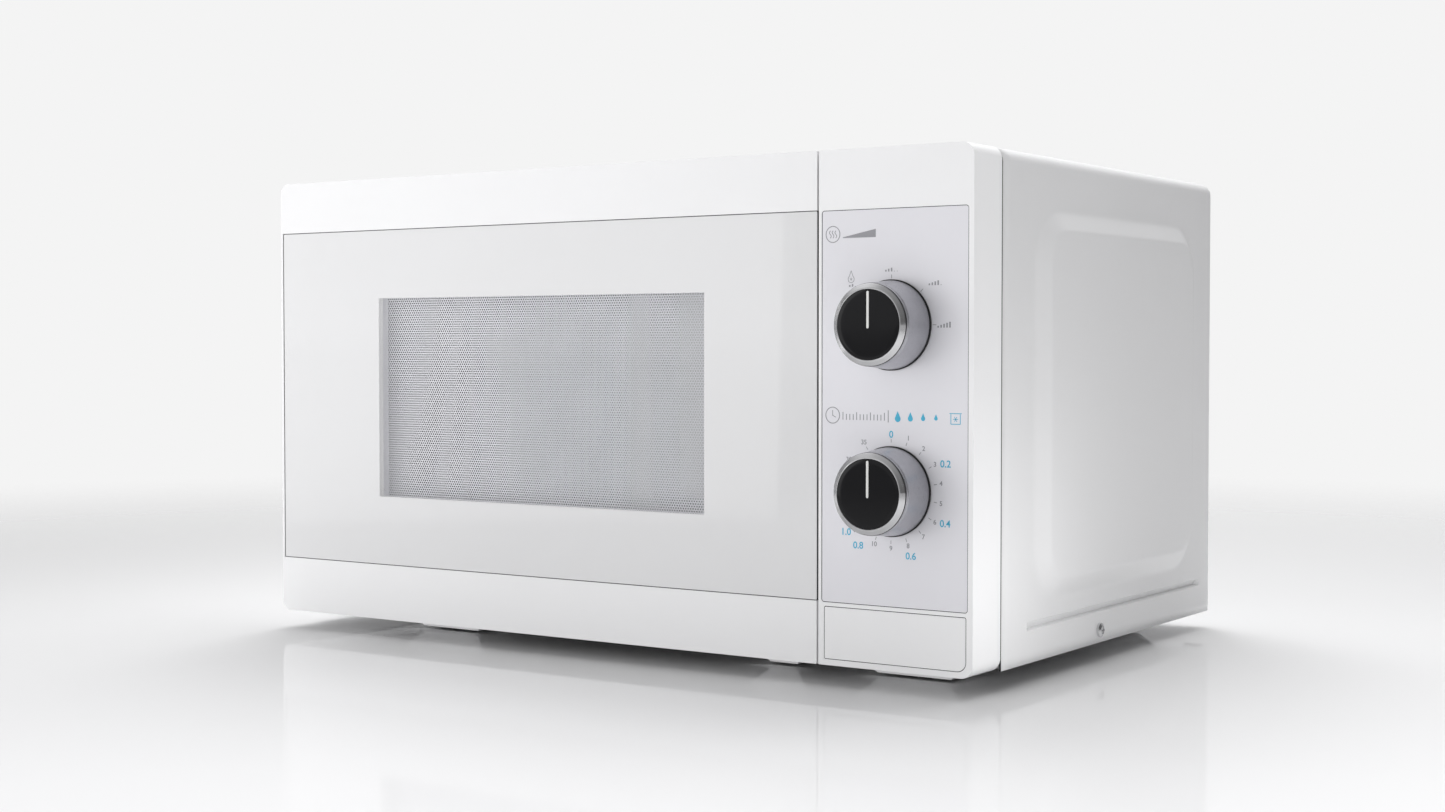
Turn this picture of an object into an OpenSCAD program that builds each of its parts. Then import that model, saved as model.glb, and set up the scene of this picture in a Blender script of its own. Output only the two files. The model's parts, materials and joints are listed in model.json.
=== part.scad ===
// Countertop microwave oven: side-hinged door, two dial knobs and a door-release button.
// Millimetres, +Z up, the front faces -Y. The origin is on the surface that the oven stands on,
// under the centre of its bounding box.

/* [Body] */
// Width across the front frame and the casing
body_w = 439.5; // [438:0.5:442]
// Height of the front frame and the casing, without the feet
body_h = 241.8; // [241.8:0.2:246]
// Depth from the front plane to the casing's rear edge
body_d = 295.5; // [295:0.5:300]
// Height of the feet
foot_h = 10; // [9:0.5:12]
// Depth of the door frame and of the control panel
front_d = 27.7; // [27.5:0.1:28]
// How far the bulge behind the cavity stands out of the back
bulge_d = 18; // [14:0.5:20]
// Thickness of the casing's sheet
sheet = 0.8; // [0.6:0.1:1]
// Radius of the front corners, seen from the front
corner_r = 6; // [3:0.5:8]
// Height of the raised field on each side of the casing
field_h = 4; // [2:0.5:6]

/* [Door] */
// X of the line between the door and the control panel
split_x = 138; // [137.5:0.1:138.5]
// Width of the gap along that line
split_gap = 1; // [0.8:0.1:1.2]
// Thickness of the door's glass panel
glass_t = 3.2; // [2.8:0.1:3.6]
// Height of the band below the glass panel
band_low = 30; // [28:0.5:32]
// Height of the band above the glass panel
band_high = 28; // [26:0.5:30]

/* [Knobs] */
// How far the knobs stand out of the front plane
knob_stand = 21; // [18:0.5:24]
// Radius of a knob's skirt at its base
knob_r = 20.5; // [19:0.5:22]
// X of both knobs
knob_x = 177.5; // [176:0.5:179]
// Height of the power knob above the casing's lower edge
power_h = 159.8; // [158:0.2:162]
// Height of the timer knob above the casing's lower edge
timer_h = 83.2; // [82:0.2:85]

/* [Turntable] */
// Radius of the glass tray
tray_r = 122.5; // [110:0.5:124]
// Radius of the circle on which the rollers run
ring_r = 86; // [80:1:92]

/* [Hidden] */
$fn = 64;
eps = 0.01;

// Planes of the casing
half_w = body_w / 2;
bot = foot_h;
top = foot_h + body_h;
total_d = knob_stand + body_d + bulge_d;
front = knob_stand - total_d / 2;
seam = front + front_d;
rear = front + body_d;
back = rear + bulge_d;
plate_y = seam + 0.5;
plate_back = plate_y + sheet;
casing_y = seam + 1;
rear_r = 6;
rear_flange = 10;

// Raised field and pressed groove on the casing's sides: [y from the front plane, z above the edge]
field_lo = [61.2, 27.2];
field_hi = [264.4, 216.5];
field_r = 28;
field_slope = 10.5;
groove_lo = [55.8, 15.5];
groove_hi = [276, 19.8];
groove_t = 1.5;
side_screw = [139.6, 6.5];
screw_r = 2;
screw_head_r = 3.6;
screw_hole_r = 2.3;
side_screw_l = 6;
rear_screw_l = 8;

// Cooking cavity, inner faces
cav_x = [-190, 116];
cav_z = [bot + 23, bot + 222];
cav_front = plate_back;
cav_back = rear - 2 * sheet - 1.4;
cav_bulge = back - 2 * sheet - 1;
bulge_lo = [cav_x[0] + 16, cav_z[0] + 12];
bulge_hi = [cav_x[1] - 16, cav_z[1] - 12];
bulge_r = 24;
bulge_slope = 12;
table_xy = [(cav_x[0] + cav_x[1]) / 2, front + 160];
floor_z = cav_z[0];
air_in_at = [front + 230, bot + 150];
air_out_at = [front + 222.5, bot + 192.5];
motor_hole_r = 9;

// Front plate
cut_x = [144, 212];
cut_z = [bot + 40, bot + 205];
rod_cut = [[141, bot + 19], [150, bot + 28]];

// Door
door_x0 = -half_w;
door_x1 = split_x - split_gap / 2;
pivot = [-212, front + 19];
pivot_r = 8.7;
door_wall = 2.5;
recess_d = glass_t + 0.2;
front_wall = 2.8;
glass_edge = 1.6;
window_x = [-154, 83];
window_z = [bot + 58, bot + 186];
hinge_pin_r = 3;
hinge_bore_r = 3.06;
hinge_pin_l = 12;
tab_t = 2;
tab_gap = 0.3;
tab_z = [bot + 14, top - 14 - tab_t];
boss_h = 14;
tab_slot_w = 13;
notch_half = 6.5;
screen_y = front + 9.2;
screen_t = 0.5;
tray_t = 0.8;
choke_x = [-203, 126];
choke_z = [bot + 9, top - 9];
choke_win_x = [-160, 86];
choke_win_z = [bot + 54, bot + 190];
choke_rim = 12;
cover_x = [-203.6, 133];
cover_z = [bot + 6, top - 6];
cover_y = front + 27.6;
cover_t = 2;
cover_win_x = [-178, 104];
cover_win_z = [bot + 38, bot + 207];

// Latch
hook_x = [127.6, 131.6];
hook_z = [bot + 70, bot + 182];
hook_arm_h = 8;
hook_tip = 5;
hook_bar_y = [front + 12, front + 20];
hook_end = front + 46;
hook_bar_z = [bot + 58, bot + 200];
slot_gap = 0.7;
slot_up = 5;
slot_down = 2;

// Control panel
panel_x0 = split_x + split_gap / 2;
plate_lo = [140.1, bot + 29.7];
plate_hi = [217.2, bot + 213.5];
plate_t = 0.6;
button_lo = [141.6, bot + 2.8];
button_hi = [216.5, bot + 27.9];
button_gap = 0.35;
button_d = 14;
button_r = [1, 4.6, 1, 1];
rod_x = [142.5, 147.5];
rod_z = [bot + 22, bot + 25];

// Release lever, turning about an axis along X
lever_pivot = [front + 34, bot + 52];
lever_x = [139.3, 146.3];
lever_pin_r = 3;
lever_bore_r = 3.05;
lever_hub_r = 4.8;

// Latch board
board_x = [136, 139];
board_y = [plate_back + 0.2, front + 68];
board_z = [bot + 24, bot + 216];
switch_size = [10.3, 16, 28];
switch_pin_r = 1.45;
switch_hole_r = 1.5;

// Knobs and their shafts
power_at = [knob_x, bot + power_h];
timer_at = [knob_x, bot + timer_h];
knob_front_r = 18.2;
knob_gap = 0.9;
knob_skin = 1.8;
cap_r = 16.4;
cap_t = 1.6;
shaft_r = 3;
shaft_bore_r = 3.05;
shaft_hole_r = 4;
power_shaft_end = 33;
timer_shaft_end = 40;

// Electrical bay
core_lo = [130, front + 88, bot + 3];
core_size = [76, 56, 64];
core_leg = 12;
core_feet = 8;
can_lo = [126, front + 178, bot + 3];
can_size = [52, 33, 92];
mag_c = [152, front + 141, bot + 175];
mag_size = [42, 78, 76];
guide_lo = [cav_x[1] + sheet, front + 100, bot + 120];
guide_hi = [150, front + 190, bot + 215];
port_lo = [front + 108, bot + 145];
port_hi = [front + 178, bot + 195];
fan_at = [168, bot + 140];
fan_r = 38;
fan_y = [front + 246, front + 284];
lamp_at = [front + 84, bot + 195];

// Profile helpers: a 2D shape drawn in (x, z) or (y, z) and given a thickness
module along_y(y, d) translate([0, y + d, 0]) rotate([90, 0, 0]) linear_extrude(d) children();
module along_x(x, d) translate([x, 0, 0]) rotate([90, 0, 90]) linear_extrude(d) children();
module along_z(z, d) translate([0, 0, z]) linear_extrude(d) children();

// Block between two opposite corners
module box(lo, hi) translate(lo) cube(hi - lo);

// Round bars along each axis, placed by the two other coordinates
module rod_x(yz, x, d, r) translate([x, yz[0], yz[1]]) rotate([0, 90, 0]) cylinder(d, r, r);
module rod_y(xz, y, d, r) translate([xz[0], y + d, xz[1]]) rotate([90, 0, 0]) cylinder(d, r, r);
module rod_z(xy, z, d, r) translate([xy[0], xy[1], z]) cylinder(d, r, r);

// Rectangle between two corners with rounded corners: [low-left, low-right, high-right, high-left]
module rrect(lo, hi, r) {
    size = hi - lo;
    corners = [[0, 0], [1, 0], [1, 1], [0, 1]];
    difference() {
        translate(lo) square(size);
        for (i = [0:3]) if (r[i] > 0) {
            c = corners[i];
            translate([c[0] ? hi[0] : lo[0], c[1] ? hi[1] : lo[1]]) mirror([c[0], 0]) mirror([0, c[1]])
                difference() {
                    translate([-1, -1]) square(r[i] + 1);
                    translate([r[i], r[i]]) circle(r[i]);
                }
        }
    }
}
function even(r) = [r, r, r, r];

// Slot with round ends along the first axis
module slot(lo, hi) {
    r = (hi[1] - lo[1]) / 2;
    translate([lo[0] + r, lo[1]]) square([hi[0] - lo[0] - 2 * r, 2 * r]);
    for (x = [lo[0] + r, hi[0] - r]) translate([x, lo[1] + r]) circle(r);
}

// Rectangular ring between an outer and an inner rectangle
module frame_2d(lo, hi, in_lo, in_hi) {
    difference() {
        translate(lo) square(hi - lo);
        translate(in_lo) square(in_hi - in_lo);
    }
}

// Raised field with sloping, rounded edges: base outline at a, top outline at a + h, along X or Y
module raised(lo, hi, r, slope, a, h) {
    hull() {
        along_y(a, eps) rrect(lo, hi, even(r), $fn = 32);
        along_y(a + h - eps, eps)
            rrect(lo + [slope, slope], hi - [slope, slope], even(r - slope), $fn = 32);
    }
}

// Tube swept along a list of points, for wires and springs
function unit(v) = v / norm(v);
function heading(pts, i) =
    unit(pts[min(i + 1, len(pts) - 1)] - pts[max(i - 1, 0)]);
module sweep(pts, r, sides) {
    n = len(pts);
    up = [0.3, 0.2, 0.93];
    rings = [
        for (i = [0:n - 1])
            let (t = heading(pts, i), u = unit(cross(t, up)), v = cross(u, t))
                for (k = [0:sides - 1])
                    pts[i] + r * (cos(360 * k / sides) * u + sin(360 * k / sides) * v)
    ];
    walls = [
        for (i = [0:n - 2], k = [0:sides - 1], half = [0, 1])
            let (m = (k + 1) % sides, a = i * sides, b = a + sides)
                half ? [a + k, b + m, b + k] : [a + k, a + m, b + m]
    ];
    first = [for (k = [0:sides - 1]) sides - 1 - k];
    last = [for (k = [0:sides - 1]) (n - 1) * sides + k];
    polyhedron(rings, concat([first], walls, [last]), convexity = 10);
}

// Coil of wire along Z from the origin
module coil(r, wire, turns, h) {
    steps = 14;
    sweep([for (i = [0:turns * steps])
        [r * cos(360 * i / steps), r * sin(360 * i / steps), h * i / (turns * steps)]], wire, 6);
}

// ---- Casing -------------------------------------------------------------------------------

// Upside-down U outline of the casing, from z to its top
module arch(half, high, z, r) rrect([-half, z], [half, high], [0, 0, r, r]);

// Quarter of the rounded rear edge, in (outward, y)
module edge_quarter(at) {
    translate(at) intersection() {
        difference() {
            circle(rear_r);
            circle(rear_r - sheet);
        }
        square(rear_r);
    }
}

module casing_walls() {
    in = corner_r + 1 - rear_r;
    r = corner_r + 1;
    along_y(casing_y, rear - rear_r - casing_y) difference() {
        arch(half_w, top, bot, r);
        arch(half_w - sheet, top - sheet, bot - 1, r - sheet);
    }
    for (s = [0, 1]) mirror([s, 0, 0]) {
        along_z(bot, top - r - bot) edge_quarter([half_w - rear_r, rear - rear_r]);
        translate([half_w - r, 0, top - r]) rotate([90, 0, 0]) mirror([0, 0, 1])
            rotate_extrude(angle = 90) edge_quarter([in, rear - rear_r]);
    }
    along_x(r - half_w, 2 * (half_w - r)) edge_quarter([rear - rear_r, top - rear_r]);
    along_y(rear - sheet, sheet) difference() {
        arch(half_w - rear_r, top - rear_r, bot, in);
        arch(half_w - rear_r - rear_flange, top - rear_r - rear_flange, bot - 1, 0);
    }
}

// Raised field of the right side, from the sheet's plane x, with its hollow side facing inwards
module side_field(x) {
    translate([x, 0, 0]) rotate([0, 0, -90]) mirror([1, 0, 0])
        raised(field_lo + [front, bot], field_hi + [front, bot], field_r, field_slope, 0, field_h);
}

module side_holes() {
    rod_x([front + side_screw[0], bot + side_screw[1]], half_w - drill, 2 * drill, screw_hole_r);
    along_x(half_w - groove_t, groove_t + 1) slot(groove_lo + [front, bot], groove_hi + [front, bot]);
}

rear_screws = [
    [-205, bot + 30], [-205, bot + 190], [-60, top - 12],
    [90, top - 12], [205, bot + 190], [205, bot + 30]
];
drill = 3;

module outer_casing() color("white") {
    difference() {
        union() {
            casing_walls();
            for (s = [0, 1]) mirror([s, 0, 0]) {
                side_field(half_w);
                along_x(half_w - groove_t - sheet, groove_t + eps)
                    slot(groove_lo + [front - 1, bot - 1], groove_hi + [front + 1, bot + 1]);
            }
        }
        for (s = [0, 1]) mirror([s, 0, 0]) {
            side_field(half_w - sheet);
            side_holes();
        }
        for (p = rear_screws) rod_y(p, rear - drill, 2 * drill, screw_hole_r);
    }
}

// Pressed feet: [x, y from the front plane, half width, half depth]
feet = [
    [-128, 52, 32, 20], [94, 52, 20, 20], [168, 52, 32, 20],
    [-172, 236, 30, 30], [174, 236, 30, 30]
];
pad_at = [[-128, 52], [172, 52], [-172, 236], [174, 236]];
pad_r = 7;
pad_t = 1.6;
foot_slope = 12;
foot_ramp = 8;
base_z = bot + 1.2;
base_flange = 12;
base_vents = 8;
base_vent_at = [128, front + 96];
base_vent_pitch = 10;
base_vent_l = 24;
base_motor_r = 30;

// Side outline of a pressed foot: half length at the plate, shortened by the slope at the bottom
module foot_side(c, half, slope, low_z, top_z) polygon([
    [c - half, top_z], [c - half + slope, low_z],
    [c + half - slope, low_z], [c + half, top_z]
]);

// Tapered block of a pressed foot, grown by g on every side and closed at the height of its top
module foot_form(f, g, top_z) intersection() {
    y = front + f[1];
    along_y(y - f[3] - 1, 2 * f[3] + 2) foot_side(f[0], f[2] + g, foot_slope, pad_t - g, top_z);
    along_x(f[0] - f[2] - 1, 2 * f[2] + 2) foot_side(y, f[3] + g, foot_ramp, pad_t - g, top_z);
}

module base_plate() color("gainsboro") {
    half = half_w - sheet - 0.3;
    y0 = plate_back + 0.2;
    y1 = rear - rear_r - 1;
    difference() {
        union() {
            box([-half, y0, base_z], [half, y1, base_z + sheet]);
            for (s = [-1, 1]) along_x(s > 0 ? half - sheet : -half, sheet)
                translate([y0, base_z]) square([y1 - y0, base_flange]);
            for (f = feet) foot_form(f, 0, base_z + sheet);
        }
        for (f = feet) foot_form(f, -sheet, base_z + sheet + 2 * eps);
        for (s = [-1, 1])
            rod_x([front + side_screw[0], bot + side_screw[1]], s * half - drill, 2 * drill, screw_hole_r);
        for (i = [0:base_vents - 1]) along_z(base_z - drill, 2 * drill)
            translate(base_vent_at + [base_vent_pitch * i, 0]) slot_z(base_vent_l);
        rod_z(table_xy, base_z - drill, 2 * drill, base_motor_r);
    }
}

// Vent slot in (x, y), starting at the origin and running to +Y
vent_w = 4;
module slot_z(l) rrect([0, 0], [vent_w, l], even(vent_w / 2));

module foot_pads() color("dimgray")
    for (p = pad_at) rod_z([p[0], front + p[1]], 0, pad_t, pad_r);

// ---- Back ---------------------------------------------------------------------------------

back_y = rear - 2 * sheet;
back_margin = 1.5;
bulge_skin = [2, 2];

// Rear vents: rows of slots with round ends, at each column's x
vent_pitch = 8;
vent_slot = [24, 3.5];
fan_vent_x = [128, 158, 188];
fan_vent_z = bot + 92;
fan_vent_rows = 11;
side_vent_at = [-209, bot + 96];
side_vent_rows = 8;

module vent(at) along_y(back_y - drill, 2 * drill) slot(at, at + vent_slot);

module rear_bulge(y) raised(bulge_lo - bulge_skin, bulge_hi + bulge_skin, bulge_r, bulge_slope,
    y, back - back_y - sheet);

module back_panel() color("silver") {
    edge = rear_r + back_margin;
    difference() {
        union() {
            along_y(back_y, sheet) rrect([edge - half_w, bot + 2], [half_w - edge, top - edge], even(2));
            rear_bulge(back_y + sheet);
        }
        rear_bulge(back_y - eps);
        for (i = [0:fan_vent_rows - 1]) for (x = fan_vent_x) vent([x, fan_vent_z + vent_pitch * i]);
        for (i = [0:side_vent_rows - 1]) vent(side_vent_at + [0, vent_pitch * i]);
        rod_y(gland_at, back_y - drill, 2 * drill, gland_r + 0.1);
        for (p = rear_screws) rod_y(p, back_y - drill, 2 * drill, screw_r - 0.1);
    }
}

// Bushing with a flange on each side of the sheet and a bore for the mains cord
gland_at = [191, bot + 208];
gland_r = 8;
gland_inner = 6;
gland_outer = 8;
gland_flange_t = 2.4;
cord_bore_r = 3.6;
module cord_gland() color("black") difference() {
    y0 = back_y - gland_inner;
    union() {
        rod_y(gland_at, y0, gland_inner + gland_outer, gland_r);
        rod_y(gland_at, back_y + sheet, gland_flange_t, gland_r + 3);
        rod_y(gland_at, back_y - gland_flange_t, gland_flange_t, gland_r + 2);
    }
    rod_y(gland_at, y0 - 1, gland_inner + gland_outer + 2, cord_bore_r);
}

// Pan-head screw along Z: head upwards from the origin, shank downwards
screw_rim = 1.2;
screw_dome = 0.9;
cross_w = 1;
module screw(head_r, r, l) {
    half = head_r * 0.55;
    difference() {
        union() {
            cylinder(screw_rim, head_r, head_r);
            translate([0, 0, screw_rim]) cylinder(screw_dome, head_r, head_r * 0.6);
            translate([0, 0, -l]) cylinder(l, r, r);
        }
        for (a = [0, 90]) rotate(a) translate([-half, -cross_w / 2, screw_dome + 0.1])
            cube([2 * half, cross_w, 2]);
    }
}

module casing_screws() color("silver") {
    for (s = [0, 1]) mirror([s, 0, 0])
        translate([half_w, front + side_screw[0], bot + side_screw[1]]) rotate([0, 90, 0])
            screw(screw_head_r, screw_r, side_screw_l);
    for (p = rear_screws) translate([p[0], rear, p[1]]) rotate([-90, 0, 0])
        screw(screw_head_r, screw_r - 0.2, rear_screw_l);
}

// ---- Cavity -------------------------------------------------------------------------------

// Slot that a latch hook reaches through, wider than the hook by a gap on each side
module hook_slot(z, gap, r) rrect([hook_x[0] - gap, z - hook_tip - slot_down],
    [hook_x[1] + gap, z + hook_arm_h + slot_up], even(r));

plate_margin = 1.2;
plate_hook_gap = 2.5;
module front_plate() color("white") {
    inset = [plate_margin, plate_margin];
    difference() {
        along_y(plate_y, sheet) difference() {
            rrect([-half_w, bot] + inset, [half_w, top] - inset, even(5));
            rrect([cav_x[0], cav_z[0]], [cav_x[1], cav_z[1]], even(4));
            rrect([cut_x[0], cut_z[0]], [cut_x[1], cut_z[1]], even(3));
            rrect(rod_cut[0], rod_cut[1], even(1));
        }
        for (z = hook_z) along_y(plate_y - 1, drill) hook_slot(z, plate_hook_gap, 1);
        for (z = tab_z) along_y(plate_y - 1, drill)
            translate([pivot[0] - tab_slot_w / 2, z - tab_gap]) square([tab_slot_w, tab_t + 2 * tab_gap]);
    }
}

// Round perforations on a grid in (y, z), through the cavity wall at x
vent_hole_r = 1.5;
module wall_grid(x, centre, n, pitch) {
    for (i = [0:n - 1]) for (k = [0:n - 1])
        rod_x(centre + pitch * [i - (n - 1) / 2, k - (n - 1) / 2], x - 2, 5, vent_hole_r);
}

module oven_cavity() color("whitesmoke") {
    lo = [cav_x[0] - sheet, cav_front, cav_z[0] - sheet];
    hi = [cav_x[1] + sheet, cav_back + sheet, cav_z[1] + sheet];
    difference() {
        union() {
            box(lo, hi);
            raised(bulge_lo, bulge_hi, bulge_r, bulge_slope, cav_back + sheet, cav_bulge - cav_back);
        }
        box([cav_x[0], cav_front - 1, cav_z[0]], [cav_x[1], cav_back, cav_z[1]]);
        raised(bulge_lo, bulge_hi, bulge_r, bulge_slope, cav_back - eps, cav_bulge - cav_back + eps);
        box([cav_x[1] - 2, port_lo[0], port_lo[1]], [cav_x[1] + 2, port_hi[0], port_hi[1]]);
        wall_grid(cav_x[1], lamp_at, 5, 4.6);
        wall_grid(cav_x[1], air_in_at, 6, 5);
        wall_grid(cav_x[0], air_out_at, 6, 5);
        rod_z(table_xy, cav_z[0] - 2, 4, motor_hole_r);
    }
}

antenna_hole_r = 13;
guide_t = 1;
module waveguide() color("silver") {
    wall = [guide_t, guide_t, guide_t];
    difference() {
        box(guide_lo, guide_hi);
        box(guide_lo + [-guide_t, guide_t, guide_t], guide_hi - wall);
        rod_x([mag_c[1], mag_c[2]], guide_hi[0] - 2, 4, antenna_hole_r);
    }
}

mica_t = 0.6;
mica_rim = [8, 8];
module waveguide_cover() color("tan")
    along_x(cav_x[1] - 1, mica_t) rrect(port_lo - mica_rim, port_hi + mica_rim, even(5));

// ---- Door ---------------------------------------------------------------------------------

// Fixed brackets: tab through the front plate with a pin into the door, and a foot behind the plate
bracket_t = 2;
bracket_half = 5;
bracket_w = 18;
bracket_h = 12;
rivet_at = [12, 7];
rivet_r = 2;
module hinge_bracket(z, up) {
    y1 = plate_back + bracket_t;
    difference() {
        union() {
            box([pivot[0] - bracket_half, pivot[1], z], [pivot[0] + bracket_half, y1, z + tab_t]);
            rod_z(pivot, z, tab_t, bracket_half);
            box([pivot[0] - bracket_half, plate_back, z - bracket_h],
                [pivot[0] + bracket_w, y1, z + bracket_h]);
        }
        for (s = [-1, 1])
            rod_y([pivot[0] + rivet_at[0], z + s * rivet_at[1]], plate_back - 1, bracket_t + 3, rivet_r);
    }
    rod_z(pivot, up ? z : z - hinge_pin_l, hinge_pin_l + tab_t, hinge_pin_r);
}

module door_hinges() color("silver") {
    hinge_bracket(tab_z[0], true);
    hinge_bracket(tab_z[1], false);
}

// Bosses around the hinge pins: below the upper tab and above the lower one
boss_z = [tab_z[0] + tab_t + tab_gap, tab_z[1] - tab_gap - boss_h];
boss_y = [front + 8, pivot[1] + 7.5];
boss_half = 8;

module door_hollow() {
    z_lo = bot + door_wall;
    z_hi = top - door_wall;
    x_lo = door_x0 + door_wall;
    x_hi = door_x1 - door_wall;
    box([x_lo, front + recess_d + front_wall, z_lo], [x_hi, seam + 1, z_hi]);
    box([x_lo, front + door_wall, z_lo], [x_hi, seam + 1, bot + band_low - door_wall]);
    box([x_lo, front + door_wall, top - band_high + door_wall], [x_hi, seam + 1, z_hi]);
}

module door_frame() color("white") {
    difference() {
        union() {
            difference() {
                along_y(front, front_d) rrect([door_x0, bot], [door_x1, top], [corner_r, 0.6, 0.6, corner_r]);
                door_hollow();
            }
            for (z = boss_z)
                box([door_x0 + 1, boss_y[0], z], [pivot[0] + boss_half, boss_y[1], z + boss_h]);
        }
        along_y(front - 1, recess_d + 1)
            translate([door_x0 + glass_edge, bot + band_low])
                square([body_w, body_h - band_low - band_high]);
        along_y(front, front_d) rrect([window_x[0], window_z[0]], [window_x[1], window_z[1]], even(3));
        for (z = tab_z)
            box([door_x0 - 1, pivot[1] - 6, z - tab_gap],
                [pivot[0] + notch_half, seam + 1, z + tab_t + tab_gap]);
        rod_z(pivot, boss_z[0] - 1, boss_h + 1, hinge_bore_r);
        rod_z(pivot, boss_z[1], boss_h + 1, hinge_bore_r);
        along_z(bot - 1, body_h + 2) difference() {
            translate([door_x0 - 1, pivot[1]]) square([pivot[0] - door_x0 + 1, front_d]);
            translate(pivot) circle(pivot_r);
        }
    }
}

glass_gap = 0.3;
glass_set = 0.2;
module door_glass() color("lightgray", 0.6)
    box([door_x0 + glass_edge + glass_gap, front + glass_set, bot + band_low + glass_gap],
        [door_x1, front + glass_set + glass_t, top - band_high - glass_gap]);

screen_lap = 8;
module door_screen() color("gainsboro")
    along_y(screen_y, screen_t) rrect([choke_win_x[0], choke_win_z[0]] - [screen_lap, screen_lap],
        [choke_win_x[1], choke_win_z[1]] + [screen_lap, screen_lap], even(3));

module door_choke_frame() color("silver") {
    y0 = screen_y + screen_t;
    lo = [choke_x[0], choke_z[0]];
    hi = [choke_x[1], choke_z[1]];
    in = [tray_t, tray_t];
    along_y(y0, tray_t) difference() {
        rrect(lo, hi, even(3));
        rrect([choke_win_x[0], choke_win_z[0]], [choke_win_x[1], choke_win_z[1]], even(3));
    }
    along_y(y0, choke_rim) difference() {
        rrect(lo, hi, even(3));
        rrect(lo + in, hi - in, even(3 - tray_t));
    }
}

// The film lies in a pocket between the cover's window and a wall around it
film_lap = 4;
film_gap = 0.2;
film_t = 0.5;
film_wall = 2;
module door_choke_cover() color("whitesmoke") {
    y0 = cover_y - cover_t;
    wall_y = screen_y + screen_t + tray_t;
    lo = [cover_win_x[0], cover_win_z[0]];
    hi = [cover_win_x[1], cover_win_z[1]];
    in = [film_lap, film_lap];
    out = in + [film_wall, film_wall];
    difference() {
        union() {
            along_y(y0, cover_t) difference() {
                rrect([cover_x[0], cover_z[0]], [cover_x[1], cover_z[1]], even(3));
                rrect(lo, hi, even(6));
            }
            along_y(wall_y, y0 - wall_y + eps) frame_2d(lo - out, hi + out, lo - in, hi + in);
        }
        for (z = hook_z) along_y(y0 - 1, cover_t + 2) hook_slot(z, slot_gap, 0.8);
    }
}

module door_inner_film() color("lightblue", 0.3) {
    lap = film_lap - film_gap;
    box([cover_win_x[0] - lap, cover_y - cover_t - film_t, cover_win_z[0] - lap],
        [cover_win_x[1] + lap, cover_y - cover_t, cover_win_z[1] + lap]);
}

// Sliding bar with two hooks that reach through the front plate
hook_nose = [6, 3.5];
module latch_hooks() color("white") {
    w = hook_x[1] - hook_x[0];
    along_x(hook_x[0], w) {
        translate([hook_bar_y[0], hook_bar_z[0]])
            square([hook_bar_y[1] - hook_bar_y[0], hook_bar_z[1] - hook_bar_z[0]]);
        for (z = hook_z) {
            translate([hook_bar_y[1] - 1, z]) square([hook_end - hook_bar_y[1] + 1, hook_arm_h]);
            polygon([
                [hook_end - hook_nose[0], z + 1], [hook_end - hook_nose[0], z - hook_tip],
                [hook_end - hook_nose[1], z - hook_tip], [hook_end, z + 2]
            ]);
        }
    }
}

// Compression spring below the sliding bar
spring_z = bot + 36;
latch_wire = 0.35;
latch_coil_r = 2;
latch_turns = 12;
module latch_spring() color("silver")
    translate([(hook_x[0] + hook_x[1]) / 2, (hook_bar_y[0] + hook_bar_y[1]) / 2, spring_z])
        coil(latch_coil_r, latch_wire, latch_turns, hook_bar_z[0] - spring_z - latch_wire - 0.05);

// ---- Control panel ------------------------------------------------------------------------

panel_boss = [8, 9];
button_ledge = [1.5, 1.5];
button_ledge_d = 18;
module control_panel() color("white") {
    inner_lo = [panel_x0 + door_wall, bot + door_wall];
    inner_hi = [half_w - door_wall, top - door_wall];
    ledge_z = button_hi[1] + button_ledge[0];
    difference() {
        union() {
            difference() {
                along_y(front, front_d) rrect([panel_x0, bot], [half_w, top], [0.6, corner_r, corner_r, 0.6]);
                along_y(front + door_wall, front_d)
                    translate(inner_lo) square(inner_hi - inner_lo);
            }
            for (at = [power_at, timer_at])
                rod_y(at, front + door_wall - 1, panel_boss[0], panel_boss[1]);
            box([panel_x0 + 1, front + 1, ledge_z],
                [half_w - 1, front + button_ledge_d, ledge_z + button_ledge[1]]);
        }
        along_y(front - 1, plate_t + 1 + glass_set) rrect(plate_lo, plate_hi, even(1.5));
        along_y(front - 1, door_wall + 2) rrect(button_lo, button_hi, button_r);
        for (at = [power_at, timer_at]) rod_y(at, front - 1, 12, shaft_hole_r);
    }
}

module control_plate() color("lavender") {
    in = [glass_gap, glass_gap];
    difference() {
        along_y(front + glass_set, plate_t) rrect(plate_lo + in, plate_hi - in, even(1.2));
        for (at = [power_at, timer_at]) rod_y(at, front - 1, 3, shaft_hole_r);
    }
}

// Button with a stop lip along its top edge behind the panel, and a rod to the lever
button_wall = 2;
stop_lip = [4, 1.2];
stop_lip_t = 1.6;
lever_half_t = 2.5;
rod_gap = 0.3;
module open_button() color("white") {
    lo = button_lo + [button_gap, button_gap];
    hi = button_hi - [button_gap, button_gap];
    wall = [button_wall, button_wall];
    difference() {
        union() {
            along_y(front, button_d) rrect(lo, hi, button_r - even(0.3));
            along_y(front + door_wall + 0.3, stop_lip_t)
                rrect([lo[0] + stop_lip[0], lo[1]], [hi[0] - stop_lip[0], hi[1] + stop_lip[1]], even(0));
        }
        along_y(front + button_wall, button_d) rrect(lo + wall, hi - wall, even(1));
    }
    box([rod_x[0], front + 1, rod_z[0]], [rod_x[1], lever_pivot[0] - lever_half_t - rod_gap, rod_z[1]]);
}

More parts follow.
